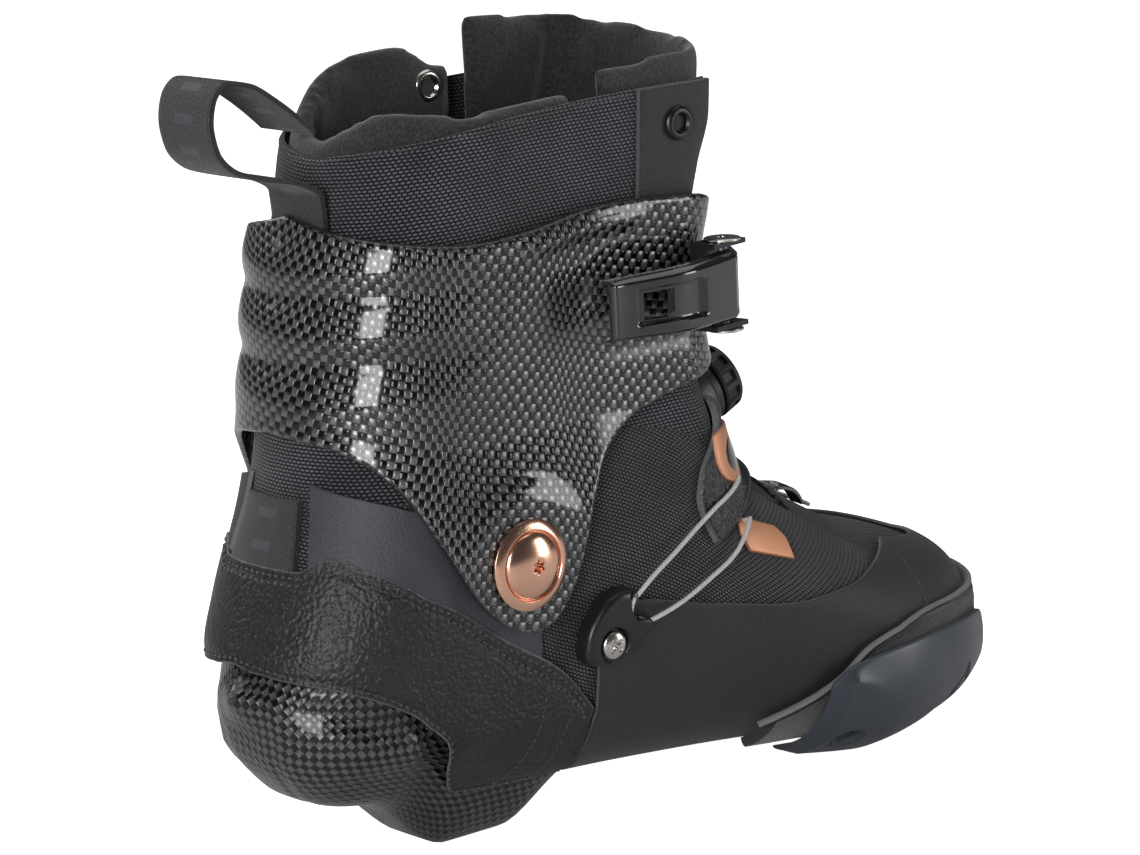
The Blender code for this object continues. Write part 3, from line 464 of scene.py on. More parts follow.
def metal(name, colour, rough, wear=0.12, **constants):
    """Turned or pressed metal with faint tool marks and finger dulling."""
    material, tree, shader = surface(name, metallic=1.0, **constants)
    cloud, speck = use(tree, HANDLED, place_of(tree), 60.0)[:2]
    lines = node(tree, "ShaderNodeTexNoise", place_of(tree), None, 2600.0, 2.0).outputs["Fac"]
    darker = tuple(c * 0.72 for c in colour)
    tree.links.new(tint(tree, times(tree, cloud, 0.5), colour, darker), shader.inputs["Base Color"])
    dull = add(tree, scaled(tree, cloud, rough, rough + wear), times(tree, speck, 0.15))
    tree.links.new(dull, shader.inputs["Roughness"])
    relief(tree, shader, lines, 0.000012)
    return material


steel = metal("steel", (0.62, 0.61, 0.6), 0.2)
for word in ("heel", "front"):
    nodes["frame_insert_" + word].data.materials[0] = steel

# ---- footbed and heel pocket ----
# Moulded foam insole and a padded neoprene pocket that hugs the heel, both loose inside the shell.
# Only seen through the collar.
BED = UNDER - SHELL_WALL - GAP - 1.6


def nap(name, colour, light, rough=0.9, **constants):
    """Brushed knit face of neoprene: fine loops, soft sheen and slow shade changes."""
    material, tree, shader = surface(name, sheen_weight=0.35, sheen_roughness=0.5, specular_ior_level=0.2,
                                     **constants)
    where = place_of(tree)
    cloud, speck = use(tree, HANDLED, where, 45.0)[:2]
    loops = node(tree, "ShaderNodeTexNoise", where, None, 1500.0, 2.0, 0.7).outputs["Fac"]
    cells = node(tree, "ShaderNodeTexVoronoi", where, None, 900.0).outputs["Distance"]
    pile = add(tree, times(tree, loops, 0.7), times(tree, cells, 0.5))
    shade = times(tree, node(tree, "ShaderNodeMapRange", pile, 0.3, 0.85, 0.0, 1.0).outputs[0],
                  scaled(tree, cloud, 0.5, 1.0))
    shade = add(tree, shade, times(tree, speck, 0.25))
    tree.links.new(tint(tree, shade, colour, light), shader.inputs["Base Color"])
    tree.links.new(scaled(tree, cloud, rough - 0.08, rough + 0.05), shader.inputs["Roughness"])
    relief(tree, shader, pile, 0.0003, 0.8)
    return material


neoprene = nap("neoprene", (0.012, 0.011, 0.0105), (0.055, 0.051, 0.048))
foam = nap("foam", (0.03, 0.03, 0.032), (0.07, 0.07, 0.074))
footbed = made("footbed_pad", laid(lambda u, v: around(mixed(-4, 4, u), mixed(-38, -90, v)), 120, 14,
                                   BED - 4, BED, loop=True, fold=True), foam, "boot", "foam", "footbed")
POCKET_TOP = curve((0, 66), (0.8, 70), (1.35, 74), (1.7, 60), (2.15, 30))


def pocket_place(u, v):
    q = mixed(-2.15, 2.15, u)
    return around(q, mixed(-22, POCKET_TOP(np.abs(q)), v))


pocket = made("heel_pocket_pad", laid(pocket_place, 90, 26, BED - 4.4, BED, edge=2.5), neoprene, "boot",
              "neoprene", "heel_pocket")

# ---- mesh and knit upper ----
# Ballistic mesh over the heel and both sides, and a ribbed stretch knit over the toes, all cut as flat
# panels and lasted over the shell.  A band of the same mesh crosses to the hinged cuff.
CLOTH_WEAVE, given, result = effect("cloth_weave", ("Vector", "Pitch X", "Pitch Y", "Stagger"),
                                    ("Height", "Thread"))
parts = node(CLOTH_WEAVE, "ShaderNodeSeparateXYZ", given["Vector"])
jitter = node(CLOTH_WEAVE, "ShaderNodeTexNoise", given["Vector"], None, 140.0, 1.0).outputs["Fac"]
jitter = times(CLOTH_WEAVE, less(CLOTH_WEAVE, jitter, 0.5), 0.5)
rows = add(CLOTH_WEAVE, calc(CLOTH_WEAVE, "DIVIDE", parts.outputs[1], given["Pitch Y"]), jitter)
row = calc(CLOTH_WEAVE, "FLOOR", rows)
shift = times(CLOTH_WEAVE, row, given["Stagger"])
columns = add(CLOTH_WEAVE, calc(CLOTH_WEAVE, "DIVIDE", parts.outputs[0], given["Pitch X"]), shift)
down = less(CLOTH_WEAVE, less(CLOTH_WEAVE, rows, row), 0.5)
along = less(CLOTH_WEAVE, calc(CLOTH_WEAVE, "FRACT", columns), 0.5)
reach = add(CLOTH_WEAVE, calc(CLOTH_WEAVE, "POWER", calc(CLOTH_WEAVE, "ABSOLUTE",
                                                         calc(CLOTH_WEAVE, "DIVIDE", along, 0.4)), 2.6),
            calc(CLOTH_WEAVE, "POWER", calc(CLOTH_WEAVE, "ABSOLUTE",
                                            calc(CLOTH_WEAVE, "DIVIDE", down, 0.34)), 2.6))
knot = node(CLOTH_WEAVE, "ShaderNodeMapRange", reach, 0.25, 1.25, 1.0, 0.0).outputs[0]
twist = calc(CLOTH_WEAVE, "SINE", times(CLOTH_WEAVE, add(CLOTH_WEAVE, along, down), 26.0))
CLOTH_WEAVE.links.new(add(CLOTH_WEAVE, knot, times(CLOTH_WEAVE, twist, 0.05)), result.inputs["Height"])
CLOTH_WEAVE.links.new(knot, result.inputs["Thread"])


def cloth(name, pitch_x, pitch_y, stagger, ground, thread, turn=0.0, depth=0.0003, rough=0.62, sheen=0.2):
    """Woven or knitted cloth: floats of thread painted bright on a dark ground, a painted sheen on the floats
    and painted shade between them.
    """
    material, tree, shader = surface(name, sheen_weight=sheen, sheen_roughness=0.4, specular_ior_level=0.35)
    height, float_mask = use(tree, CLOTH_WEAVE, chart_of(tree, turn), pitch_x, pitch_y, stagger)[:2]
    cloud, speck = use(tree, HANDLED, place_of(tree), 38.0)[:2]
    # painted sheen on the thread floats; the ground colour between them stands for painted shade
    painted_float_sheen = times(tree, float_mask, scaled(tree, cloud, 0.5, 1.15))
    painted_float_sheen = add(tree, painted_float_sheen, times(tree, speck, 0.15))
    tree.links.new(tint(tree, painted_float_sheen, ground, thread), shader.inputs["Base Color"])
    tree.links.new(scaled(tree, float_mask, rough + 0.3, rough), shader.inputs["Roughness"])
    relief(tree, shader, height, depth)
    return material


# ground and thread colours: the thread colour is the painted sheen, the darker ground the painted shade
# between floats
ballistic = cloth("mesh_fabric", 0.0017, 0.00105, 0.5, (0.003, 0.003, 0.004), (0.13, 0.134, 0.155))
ballistic_side = cloth("mesh_fabric_side", 0.00145, 0.00105, 0.5, (0.003, 0.003, 0.0035), (0.12, 0.121, 0.13),
                       turn=24)
rib_knit = cloth("rib_knit", 0.0034, 0.00115, 0.0, (0.006, 0.006, 0.006), (0.055, 0.054, 0.052), turn=90,
                 depth=0.0005, rough=0.8)


def flank(side, x, z):
    """Straight out to the outer (side 1) or inner (side -1) wall at the given X and Z."""
    x, z = np.broadcast_arrays(np.asarray(x, float), np.asarray(z, float))
    return cast(np.stack([x, 0 * x, z], -1), np.array([0.0, -side, 0.0]) + 0 * x[..., None])


def leg_at(angle, z):
    """Round the leg: angle 0 at the back, 90 on the outer side, 180 in front, negative inside."""
    angle, z = np.broadcast_arrays(np.radians(np.asarray(angle, float)), np.asarray(z, float))
    way = np.stack([-np.cos(angle), -np.sin(angle), 0 * angle], -1)
    return cast(np.stack([0 * z + LEG_X, 0 * z, z], -1), way)


def over(x, tilt):
    """Over the instep: tilt in degrees from straight up, positive to the outer side."""
    x, tilt = np.broadcast_arrays(np.asarray(x, float), np.radians(np.asarray(tilt, float)))
    way = np.stack([0 * x, -np.sin(tilt), np.cos(tilt)], -1)
    return cast(np.stack([x, (INNER(x) - OUTER(x)) / 2, 0 * x + SPINE_Z + 6], -1), way)


def counter_place(u, v):
    q = mixed(-0.995, 0.995, u)
    return around(q, mixed(UPPER_FOOT(np.abs(q)) + 1, 78, v))


made("heel_counter_mesh", laid(counter_place, 70, 30, -SKIN, 0), ballistic, "boot", "mesh_fabric",
     "heel_counter")
QUARTER_TOP = curve((45, 112), (77, 118), (119, 121), (140, 118), (158, 108), (170, 99), (185, 88), (205, 75),
                    (225, 63), (232.5, 59))
QUARTER_FOOT = curve((45, 46), (60, 42), (105, 36), (232.5, 36))
for side, word in ((1, "lateral"), (-1, "medial")):
    def quarter_place(u, v, side=side):
        x = mixed(45.5, 232.9, u)
        return flank(side, x, mixed(QUARTER_FOOT(x), QUARTER_TOP(x), v))
    made("quarter_mesh_" + word, laid(quarter_place, 110, 50, -SKIN + 0.1, -0.15), ballistic_side, "boot",
         "mesh_fabric", "quarter_" + word)
made("vamp_rib_knit", laid(lambda u, v: over(mixed(196, 280, u), mixed(-76, 76, v)), 70, 70, -SKIN - 0.4,
                           -0.25), rib_knit, "boot", "rib_knit", "vamp_knit")


def band_place(u, v):
    angle = mixed(-166, 166, u)
    return leg_at(angle, mixed(106, 132, v))


band = made("ankle_band_mesh", laid(band_place, 130, 18, -SKIN - 0.6, -0.5), ballistic, None, "mesh_fabric")
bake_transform(band)

# ---- microfibre sides, toe cap and leather heel ----
# Cut panels of matte microfibre bonded over the mesh, and a pebbled leather heel wrap held by two rows
# of stitching along its top and front and one along its foot.
PANEL = 1.0
LAYER = GAP + 0.3
OVER = LAYER + PANEL


def hide(name, colour, light, grain, depth, rough, cut=(0.16, 0.16, 0.17), **constants):
    """Coated hide or microfibre: pebbled grain with its tops painted lighter as painted glints, greyer where
    it is handled, pale on the cut edge.
    """
    material, tree, shader = surface(name, **constants)
    where = place_of(tree)
    bend = node(tree, "ShaderNodeTexNoise", where, None, grain * 0.4, 2.0).outputs["Color"]
    warped = node(tree, "ShaderNodeVectorMath", where, node(tree, "ShaderNodeVectorMath", bend, (0.0012,) * 3,
                  operation="MULTIPLY").outputs[0], operation="ADD").outputs[0]
    pebble = node(tree, "ShaderNodeTexVoronoi", warped, None, grain, feature="SMOOTH_F1").outputs["Distance"]
    pores = node(tree, "ShaderNodeTexNoise", where, None, grain * 2.6, 3.0, 0.6).outputs["Fac"]
    cloud, speck = use(tree, HANDLED, where, 26.0)[:2]
    raised = less(tree, 1.0, node(tree, "ShaderNodeMapRange", pebble, 0.15, 0.75, 0.0, 1.0).outputs[0])
    raised = add(tree, raised, times(tree, pores, 0.5))
    # painted glints: pebble tops and pores painted lighter, the hollows between them darker as painted shade
    shade = times(tree, scaled(tree, cloud, 0.15, 0.75), scaled(tree, raised, 0.3, 1.0))
    shade = add(tree, shade, times(tree, speck, 0.2))
    worn = calc(tree, "POWER", rim_of(tree), 1.5)
    tree.links.new(tint(tree, worn, tint(tree, shade, colour, light), cut), shader.inputs["Base Color"])
    tree.links.new(scaled(tree, add(tree, cloud, times(tree, raised, -0.5)), rough, rough + 0.1),
                   shader.inputs["Roughness"])
    relief(tree, shader, raised, depth)
    return material


# the lighter colour of each is the painted glint on the pebble tops
grain_leather = hide("grain_leather", (0.0045, 0.005, 0.006), (0.02, 0.021, 0.025), 850.0, 0.0003, 0.36,
                     specular_ior_level=0.5)
microfibre = hide("microfibre", (0.012, 0.0122, 0.013), (0.024, 0.0245, 0.026), 1900.0, 0.0001, 0.52,
                  cut=(0.1, 0.1, 0.11), specular_ior_level=0.4, sheen_weight=0.12, sheen_roughness=0.4)
reflective = hide("smooth_film", (0.03, 0.032, 0.037), (0.055, 0.058, 0.066), 1700.0, 0.00008, 0.5,
                  cut=(0.2, 0.2, 0.21), specular_ior_level=0.45)
thread_black, tree, shader = surface("sewing_thread", roughness=0.6, sheen_weight=0.4)
ply = calc(tree, "SINE", times(tree, node(tree, "ShaderNodeSeparateXYZ", place_of(tree)).outputs[0], 9000.0))
# ply ridges painted lighter along the thread, a painted sheen on the twist
tree.links.new(tint(tree, scaled(tree, ply, 0.3, 0.8), (0.004, 0.004, 0.005), (0.03, 0.03, 0.034)),
               shader.inputs["Base Color"])
relief(tree, shader, ply, 0.00005)


def seam(place, side, inset, start=0.0, stop=1.0, count=150):
    """Points and normals of a line that follows one edge of a panel, a set distance inside it."""
    t = np.linspace(start, stop, count)
    if side in ("top", "bottom"):
        part = inset / np.linalg.norm(place(t, 1 + 0 * t)[0] - place(t, 0 * t)[0], axis=1)
        return place(t, 1 - part if side == "top" else part)
    part = inset / np.linalg.norm(place(1 + 0 * t, t)[0] - place(0 * t, t)[0], axis=1)
    return place(1 - part if side == "right" else part, t)


def stitched(name, lift, body, *lines, pitch=2.7, long=2.1, thick=0.8, slot="grain_leather",
             finish=thread_black):
    """Rows of lockstitch: one small plump loop of thread after another, sunk a little into the panel."""
    bm = bmesh.new()
    for points, normals in lines:
        p = points + normals * lift
        s = np.concatenate([[0], np.cumsum(np.linalg.norm(np.diff(p, axis=0), axis=1))])
        for at in np.arange(pitch / 2, s[-1], pitch):
            spot, ahead, back = [np.array([np.interp(at + d, s, p[:, i]) for i in range(3)])
                                 for d in (0, 0.4, -0.4)]
            up = np.array([np.interp(at, s, normals[:, i]) for i in range(3)])
            x = (ahead - back) / np.linalg.norm(ahead - back)
            y = np.cross(up, x)
            y /= np.linalg.norm(y)
            turn = np.stack([x * long / 2, y * thick / 2, np.cross(x, y) * thick / 2], 1)
            spot_frame = Matrix(turn.tolist()).to_4x4()
            spot_frame.translation = spot
            bmesh.ops.create_uvsphere(bm, u_segments=6, v_segments=5, radius=1.0,
                                      matrix=Matrix.Diagonal((MM, MM, MM, 1)) @ spot_frame)
    return made(name, bm, finish, body, slot, sharp=80)


SIDE_TOP = curve((104.8, 36), (116, 36.5), (150, 29.5), (185, 24), (205, 24.5), (220, 27), (234.5, 29))
for side, word in ((1, "lateral"), (-1, "medial")):
    def side_place(u, v, side=side):
        x = mixed(105.2, 234.6, u)
        q = side * (1 + 2 * (x - SPINE_REAR) / (SPINE_FRONT - SPINE_REAR))
        return around(q, np.where(v < 0.3, mixed(-34, 0, v / 0.3), SIDE_TOP(x) * (v - 0.3) / 0.7))
    made("side_microfibre_" + word, laid(side_place, 110, 44, LAYER, OVER, edge=0.5), microfibre, "boot",
         "microfibre", "side_panel_" + word)
    t = np.linspace(0, 1, 60)
    x = mixed(233, 201, t ** 1.3)
    points, normals = side_place((x - 105.2) / 129.4, mixed(0.97, 0.08, t))
    bm = bmesh.new()
    strip = bmesh.ops.create_grid(bm, x_segments=59, y_segments=1, size=1.0)["verts"]
    for vert in strip:
        i = int(round((vert.co.x + 1) / 2 * 59))
        side_step = np.cross(normals[i], points[min(i + 1, 59)] - points[max(i - 1, 0)])
        side_step = side_step / np.linalg.norm(side_step) * 0.16 * np.sign(vert.co.y)
        vert.co = (points[i] + side_step + normals[i] * (OVER + 0.03)) * MM
    made("side_join_" + word, bm, reflective, "boot", "microfibre")


def toe_fan(q, lift):
    """Like around() at the toe end, but v above zero is degrees above the spine."""
    q, lift = np.broadcast_arrays(np.asarray(q, float), np.asarray(lift, float))
    turn, tilt = np.radians(90 * (4 - np.abs(q))), np.radians(lift)
    way = np.stack([np.cos(turn) * np.cos(tilt), -np.sign(q) * np.sin(turn) * np.cos(tilt), np.sin(tilt)], -1)
    return cast(np.stack([0 * q + SPINE_FRONT, 0 * q, 0 * q + SPINE_Z], -1), way)


def toe_place(u, v):
    q = mixed(3.004, 4.996, u)
    q = np.where(q > 4, q - 8, q)
    return toe_fan(q, mixed(-12, curve((3, 46), (3.5, 41), (4, 34))(np.abs(q)), v))


made("toe_cap_microfibre", laid(toe_place, 110, 36, LAYER, OVER, edge=0.5), microfibre, "boot", "microfibre",
     "toe_cap")
OVERLAY_FOOT = curve((0, 33), (0.5, 29), (0.85, 20), (1.07, 7), (1.18, -26), (1.62, -32))
OVERLAY_TOP = curve((0, 60), (0.35, 60), (0.55, 64), (0.8, 59), (1.07, 48), (1.3, 33), (1.49, 21), (1.62, 7))


def overlay_place(u, v):
    q = mixed(-1.62, 1.62, u)
    return around(q, mixed(OVERLAY_FOOT(np.abs(q)), OVERLAY_TOP(np.abs(q)), v))


def overlay_outer(u, v):
    """Pulled down a little along the stitching."""
    tall = 34.0
    top_row = bump_at((1 - v) * tall, 2.9, 1.3)
    foot_row = bump_at(v * tall, 1.9, 0.9)
    front = bump_at(np.minimum(u, 1 - u) * 300, 2.9, 1.3)
    return OVER + 0.4 - 0.4 * np.maximum(np.maximum(top_row, foot_row), front)


made("heel_leather", laid(overlay_place, 230, 50, LAYER + 0.6, overlay_outer, edge=0.6), grain_leather,
     "boot", "grain_leather", "heel_overlay")
rows = [seam(overlay_place, "top", inset, 0.008, 0.992, 320) for inset in (2.0, 4.1)]
rows += [seam(overlay_place, side, inset, 0.05, 0.9) for inset in (2.0, 4.1) for side in ("left", "right")]
rows += [seam(overlay_place, "bottom", 1.9, 0.02, 0.98, 320)]
stitched("heel_leather_stitching", OVER + 0.25, "boot", *rows)
for side, word in ((1, "lateral"), (-1, "medial")):
    def patch_place(u, v, side=side):
        q = mixed(0.42, 1.42, u)
        low = OVERLAY_TOP(q) - 2.5
        return around(side * q, mixed(low, np.maximum(curve((0.42, 84), (1.0, 76), (1.42, 44))(q), low + 4),
                                      v))
    made("ankle_film_" + word, laid(patch_place, 60, 24, 0.35, OVER - 0.3, edge=0.35), reflective, "boot",
         "smooth_film", "ankle_patch_" + word)


def tape(name, ground, thread, bar):
    """Woven tape: fine cross ribs with their floats painted lighter as a painted sheen, and small plain bars
    woven in a row along it.
    """
    material, tree, shader = surface(name, sheen_weight=0.3, specular_ior_level=0.3)
    chart = chart_of(tree)
    height, float_mask = use(tree, CLOTH_WEAVE, chart, 0.0007, 0.0005, 0.5)[:2]
    parts = node(tree, "ShaderNodeSeparateXYZ", chart)
    step = calc(tree, "FRACT", calc(tree, "DIVIDE", parts.outputs[0], 0.0095))
    inside = times(tree, calc(tree, "GREATER_THAN", step, 0.42), calc(tree, "LESS_THAN", step, 0.72))
    off = calc(tree, "ABSOLUTE", parts.outputs[1])
    woven = times(tree, inside, calc(tree, "LESS_THAN", off, 0.0042))
    cloud = use(tree, HANDLED, place_of(tree), 50.0)[0]
    # painted sheen: thread floats painted lighter than the ground, with the ground as painted shade
    plain = tint(tree, times(tree, float_mask, scaled(tree, cloud, 0.4, 1.0)), ground, thread)
    tree.links.new(tint(tree, times(tree, woven, 0.5), plain, bar), shader.inputs["Base Color"])
    tree.links.new(scaled(tree, woven, 0.85, 0.6), shader.inputs["Roughness"])
    relief(tree, shader, height, 0.00022)
    return material


webbing = tape("webbing", (0.003, 0.003, 0.004), (0.02, 0.021, 0.026), (0.04, 0.05, 0.07))
made("heel_tape", laid(lambda u, v: around(mixed(-0.34, 0.34, v), mixed(59.5, 79, u)), 26, 26, 0.35, OVER,
                       edge=0.5), webbing, "boot", "webbing", "heel_webbing")

# ---- toe rand, piping and moulded bumper ----
# A suede-like rand is bonded round the toe with a folded grey piping along its top.  Over it sits a
# faceted bumper moulded in hard rubber-like plastic, held by a recessed screw on each side.
RAND_TOP = curve((2.3, -16), (2.55, -4), (2.7, 5), (2.95, 9), (3.4, 8), (4.0, 5))
RAND = OVER + GAP + 1.5
GUARD = RAND + 1.0 + GAP + 0.3
GUARD_LOW = curve((2.5, -41), (3.2, -38), (4.0, -32))
GUARD_HIGH = curve((2.5, -2), (2.6, 3), (3.0, 5), (3.4, 3), (3.6, -2), (4.0, -5))
suede = nap("rand_suede", (0.012, 0.012, 0.0125), (0.04, 0.04, 0.042))
piping_cloth = cloth("piping", 0.0007, 0.0005, 0.5, (0.17, 0.17, 0.165), (0.42, 0.42, 0.41), rough=0.7)


def wrap_toe(low, high, start):
    def place(u, v):
        q = mixed(start, 8 - start, u)
        q = np.where(q > 4, q - 8, q)
        return around(q, mixed(low(np.abs(q)), high(np.abs(q)), v))
    return place


rand_place = wrap_toe(lambda q: -34 + 0 * q, RAND_TOP, 2.35)
made("toe_rand_suede", laid(rand_place, 150, 22, RAND - 2.2, RAND + 1.0, edge=0.7), suede, "boot",
     "microfibre", "toe_rand")
stitched("rand_stitching", RAND + 0.95, "boot", seam(rand_place, "top", 2.6, 0.03, 0.97, 300),
         slot="microfibre", thick=0.45)


def tube(path, normals, across, thick, sides=12, twist=0.0):
    """Closed tube along the path, with its UV map in metres along and round it."""
    count = len(path) - 1
    bm = bmesh.new()
    bmesh.ops.create_grid(bm, x_segments=count, y_segments=sides, size=1.0)
    run = np.concatenate([[0], np.cumsum(np.linalg.norm(np.diff(path, axis=0), axis=1))])
    ahead = np.gradient(path, axis=0)
    ahead /= np.linalg.norm(ahead, axis=1, keepdims=True)
    beside = np.cross(normals, ahead)
    beside /= np.linalg.norm(beside, axis=1, keepdims=True)
    up = np.cross(ahead, beside)
    chart = bm.loops.layers.uv.new("UVMap")
    for face in bm.faces:
        for corner in face.loops:
            i = int(round((corner.vert.co.x + 1) / 2 * count))
            corner[chart].uv = (run[i] * MM, (corner.vert.co.y + 1) / 2 * np.pi * (across + thick) / 2 * MM)
    for vert in bm.verts:
        i, turn = int(round((vert.co.x + 1) / 2 * count)), np.pi * (vert.co.y + 1)
        vert.co = (path[i] + beside[i] * np.cos(turn) * across / 2 + up[i] * np.sin(turn) * thick / 2) * MM
    bmesh.ops.remove_doubles(bm, verts=bm.verts[:], dist=0.000002)
    bmesh.ops.holes_fill(bm, edges=[e for e in bm.edges if e.is_boundary], sides=sides)
    return bm


t = np.linspace(2.3, 5.7, 220)
q = np.where(t <= 4, t, t - 8)
points, normals = around(q, RAND_TOP(np.abs(q)) + 1.6)
made("rand_piping_tape", tube(points + normals * (RAND + 0.1), normals, 1.5, 2.2), piping_cloth, "boot",
     "piping", "rand_piping")


def moulded(name, colour, light, rough, texture=1400.0, depth=0.00003, **constants):
    """Injection-moulded plastic or rubber: spark-eroded texture, paler scuffs, dust in small specks."""
    material, tree, shader = surface(name, **constants)
    where = place_of(tree)
    cloud, speck = use(tree, HANDLED, where, 34.0)[:2]
    etched = node(tree, "ShaderNodeTexNoise", where, None, texture, 3.0, 0.6).outputs["Fac"]
    shade = add(tree, times(tree, cloud, 0.5), times(tree, speck, 0.35))
    shade = add(tree, shade, times(tree, rim_of(tree), 0.4))
    tree.links.new(tint(tree, shade, colour, light), shader.inputs["Base Color"])
    tree.links.new(add(tree, scaled(tree, cloud, rough, rough + 0.08), times(tree, speck, 0.1)),
                   shader.inputs["Roughness"])
    relief(tree, shader, etched, depth)
    return material


guard_plastic = moulded("bumper_plastic", (0.03, 0.036, 0.047), (0.055, 0.064, 0.08), 0.34)
guard_place = wrap_toe(GUARD_LOW, GUARD_HIGH, 2.52)
screw_point, screw_normal = around(np.array(2.66), np.array(-22.0))


def guard_outer(u, v):
    """Flat facets: a broad chamfer along the top, a narrow one round the foot, and a ridge at each corner."""
    q = mixed(2.52, 5.48, u)
    q = np.where(q > 4, 8 - q, q)
    tall = 27.0
    top = np.clip((1 - v) * tall / np.interp(q, (2.52, 2.6, 2.8, 3.03, 3.5, 4), (1.5, 2, 9, 11.5, 9, 8)), 0,
                  1)
    foot = np.clip(v * tall / 3.0, 0, 1)
    end = np.clip(np.minimum(u, 1 - u) * 190 / 3.5, 0, 1)
    ridge = 2.2 * np.clip(1 - np.abs(q - 2.8) / 0.3, 0, 1)
    return GUARD + 1.0 + (2.2 + ridge) * np.minimum(np.minimum(top, foot), end)


def guard_shape(p, top):
    """A round seat with a screw hole on each outer face, and a plain sunken lozenge on each front face."""
    if not top:
        return p
    for side in (1, -1):
        n = screw_normal * (1, side, 1)
        centre = screw_point * (1, side, 1) + n * (GUARD + 3.4)
        reach = p - centre
        out = reach @ n
        flat = np.linalg.norm(reach - out[:, None] * n, axis=1)
        dish = 2.3 * smooth((5.6 - flat) / 1.0) + 2.2 * smooth((2.3 - flat) / 0.6)
        p = p - n * (dish * (np.abs(out) < 6))[:, None]
        mark, out_way = around(np.array(3.2 * side), np.array(-17.0))
        reach = p - mark
        tall_way = np.array([0.0, 0.0, 1.0]) - out_way * out_way[2]
        wide_way = np.cross(out_way, tall_way)
        size = np.abs(reach @ tall_way) / 7.5 + np.abs(reach @ wide_way) / 5.5
        groove = smooth((1 - size) / 0.12) - smooth((0.62 - size) / 0.12)
        p = p - out_way * (0.8 * groove * (reach @ out_way > 0))[:, None]
    return p


made("toe_bumper", laid(guard_place, 250, 66, GUARD, guard_outer, edge=0.5, shape=guard_shape), guard_plastic,
     "boot", "moulded_plastic", "toe_guard", sharp=16)
black_steel = metal("black_steel", (0.05, 0.05, 0.052), 0.32)
for word in ("lateral", "medial"):
    nodes["guard_screw_" + word].data.materials[0] = black_steel

# ---- tongue, lace shield, badge and side tag ----
# Ribbed knit tongue under the laces, a stitched leather panel that wraps the throat up to the dial, and two
# small copper-coloured film badges glued on, here without any mark.
lower_tongue = made("tongue_rib_knit", laid(lambda u, v: over(mixed(173, 232, u), mixed(-32, 32, v)), 50,
                                            50, -SKIN - GAP - 3.4, -SKIN - 0.4, edge=1.5), rib_knit, "boot",
                    "neoprene", "tongue_lower")
SHIELD = GAP + 0.6


def throat(rise, way):
    """From a point inside the throat: degrees up from level, and degrees round to the outer side."""
    rise, way = np.broadcast_arrays(np.radians(np.asarray(rise, float)), np.radians(np.asarray(way, float)))
    ray = np.stack([np.cos(way) * np.cos(rise), -np.sin(way) * np.cos(rise), np.sin(rise)], -1)
    return cast(np.array([130.0, 0.0, 70.0]) + 0 * ray, ray)


THROAT_FOOT = curve((0, 21), (0.5, 19.5), (0.75, 17), (1, 13))
THROAT_HALF = curve((13, 64), (27, 68), (36, 63), (44, 48), (50, 34))


def shield_place(u, v):
    """Leather throat panel: drawn in under the dial, and widest and longest at its lower corners."""
    part = mixed(-1, 1, v)
    rise = mixed(49, THROAT_FOOT(np.abs(part)), u)
    return throat(rise, part * THROAT_HALF(rise))


made("throat_shield", laid(shield_place, 80, 120, 0.15, SHIELD + 1.2, edge=0.8), grain_leather, "boot",
     "grain_leather", "tongue_shield")
stitched("throat_shield_stitching", SHIELD + 1.1, "boot", seam(shield_place, "top", 1.8, 0.02, 0.98),
         seam(shield_place, "bottom", 1.8, 0.02, 0.98), seam(shield_place, "right", 1.8, 0.02, 0.98),
         seam(shield_place, "top", 4.0, 0.02, 0.96), seam(shield_place, "bottom", 4.0, 0.02, 0.96), thick=0.6)


def foil(name, colour, dark):
    """Copper-coloured film with a fine brushed lay and a scratched shade."""
    material, tree, shader = surface(name, metallic=0.35, specular_ior_level=0.5)
    where = place_of(tree)
    cloud, speck = use(tree, HANDLED, where, 90.0)[:2]
    hair = node(tree, "ShaderNodeTexNoise", node(tree, "ShaderNodeMapping", where, (0, 0, 0), (0, 0, 0),
                (300.0, 300.0, 9000.0)).outputs[0], None, 1.0, 2.0).outputs["Fac"]
    worn = add(tree, times(tree, cloud, 0.35), times(tree, hair, 0.3))
    worn = add(tree, worn, times(tree, rim_of(tree), 0.5))
    tree.links.new(tint(tree, worn, colour, dark), shader.inputs["Base Color"])
    tree.links.new(add(tree, scaled(tree, cloud, 0.38, 0.5), times(tree, speck, 0.1)),
                   shader.inputs["Roughness"])
    relief(tree, shader, hair, 0.00002)
    return material


copper_film = foil("copper_film", (0.73, 0.34, 0.19), (0.5, 0.22, 0.12))


def badge_place(u, v):
    """Shield-shaped badge: straight at its upper end, drawn to a point at its lower."""
    across = mixed(-1, 1, u)
    return throat(mixed(43, 28, v), 47 + 11 * across * np.sqrt(np.clip(1 - (1 - v) ** 2.2 * 0.2 - v ** 4,
            0.02, 1)))


made("throat_badge", laid(badge_place, 26, 26, SHIELD + 1.2, SHIELD + 2.0, edge=0.4), copper_film, "boot",
     "copper", "badge")
oval_point, oval_normal = badge_place(np.array(0.5), np.array(0.52))


def oval_place(u, v):
    turn = 2 * np.pi * u
    return badge_place(0.5 + 0.27 * v * np.cos(turn), 0.52 + 0.3 * v * np.sin(turn))


black_gloss = moulded("gloss_plastic", (0.006, 0.006, 0.007), (0.014, 0.014, 0.016), 0.09, 300.0, 0.000012,
                      specular_ior_level=0.6, coat_weight=0.6, coat_roughness=0.04)
made("badge_inlay", laid(oval_place, 40, 6, SHIELD + 1.95, SHIELD + 2.15, edge=0.2, loop=True, pole=True),
     black_gloss, "boot", "copper")


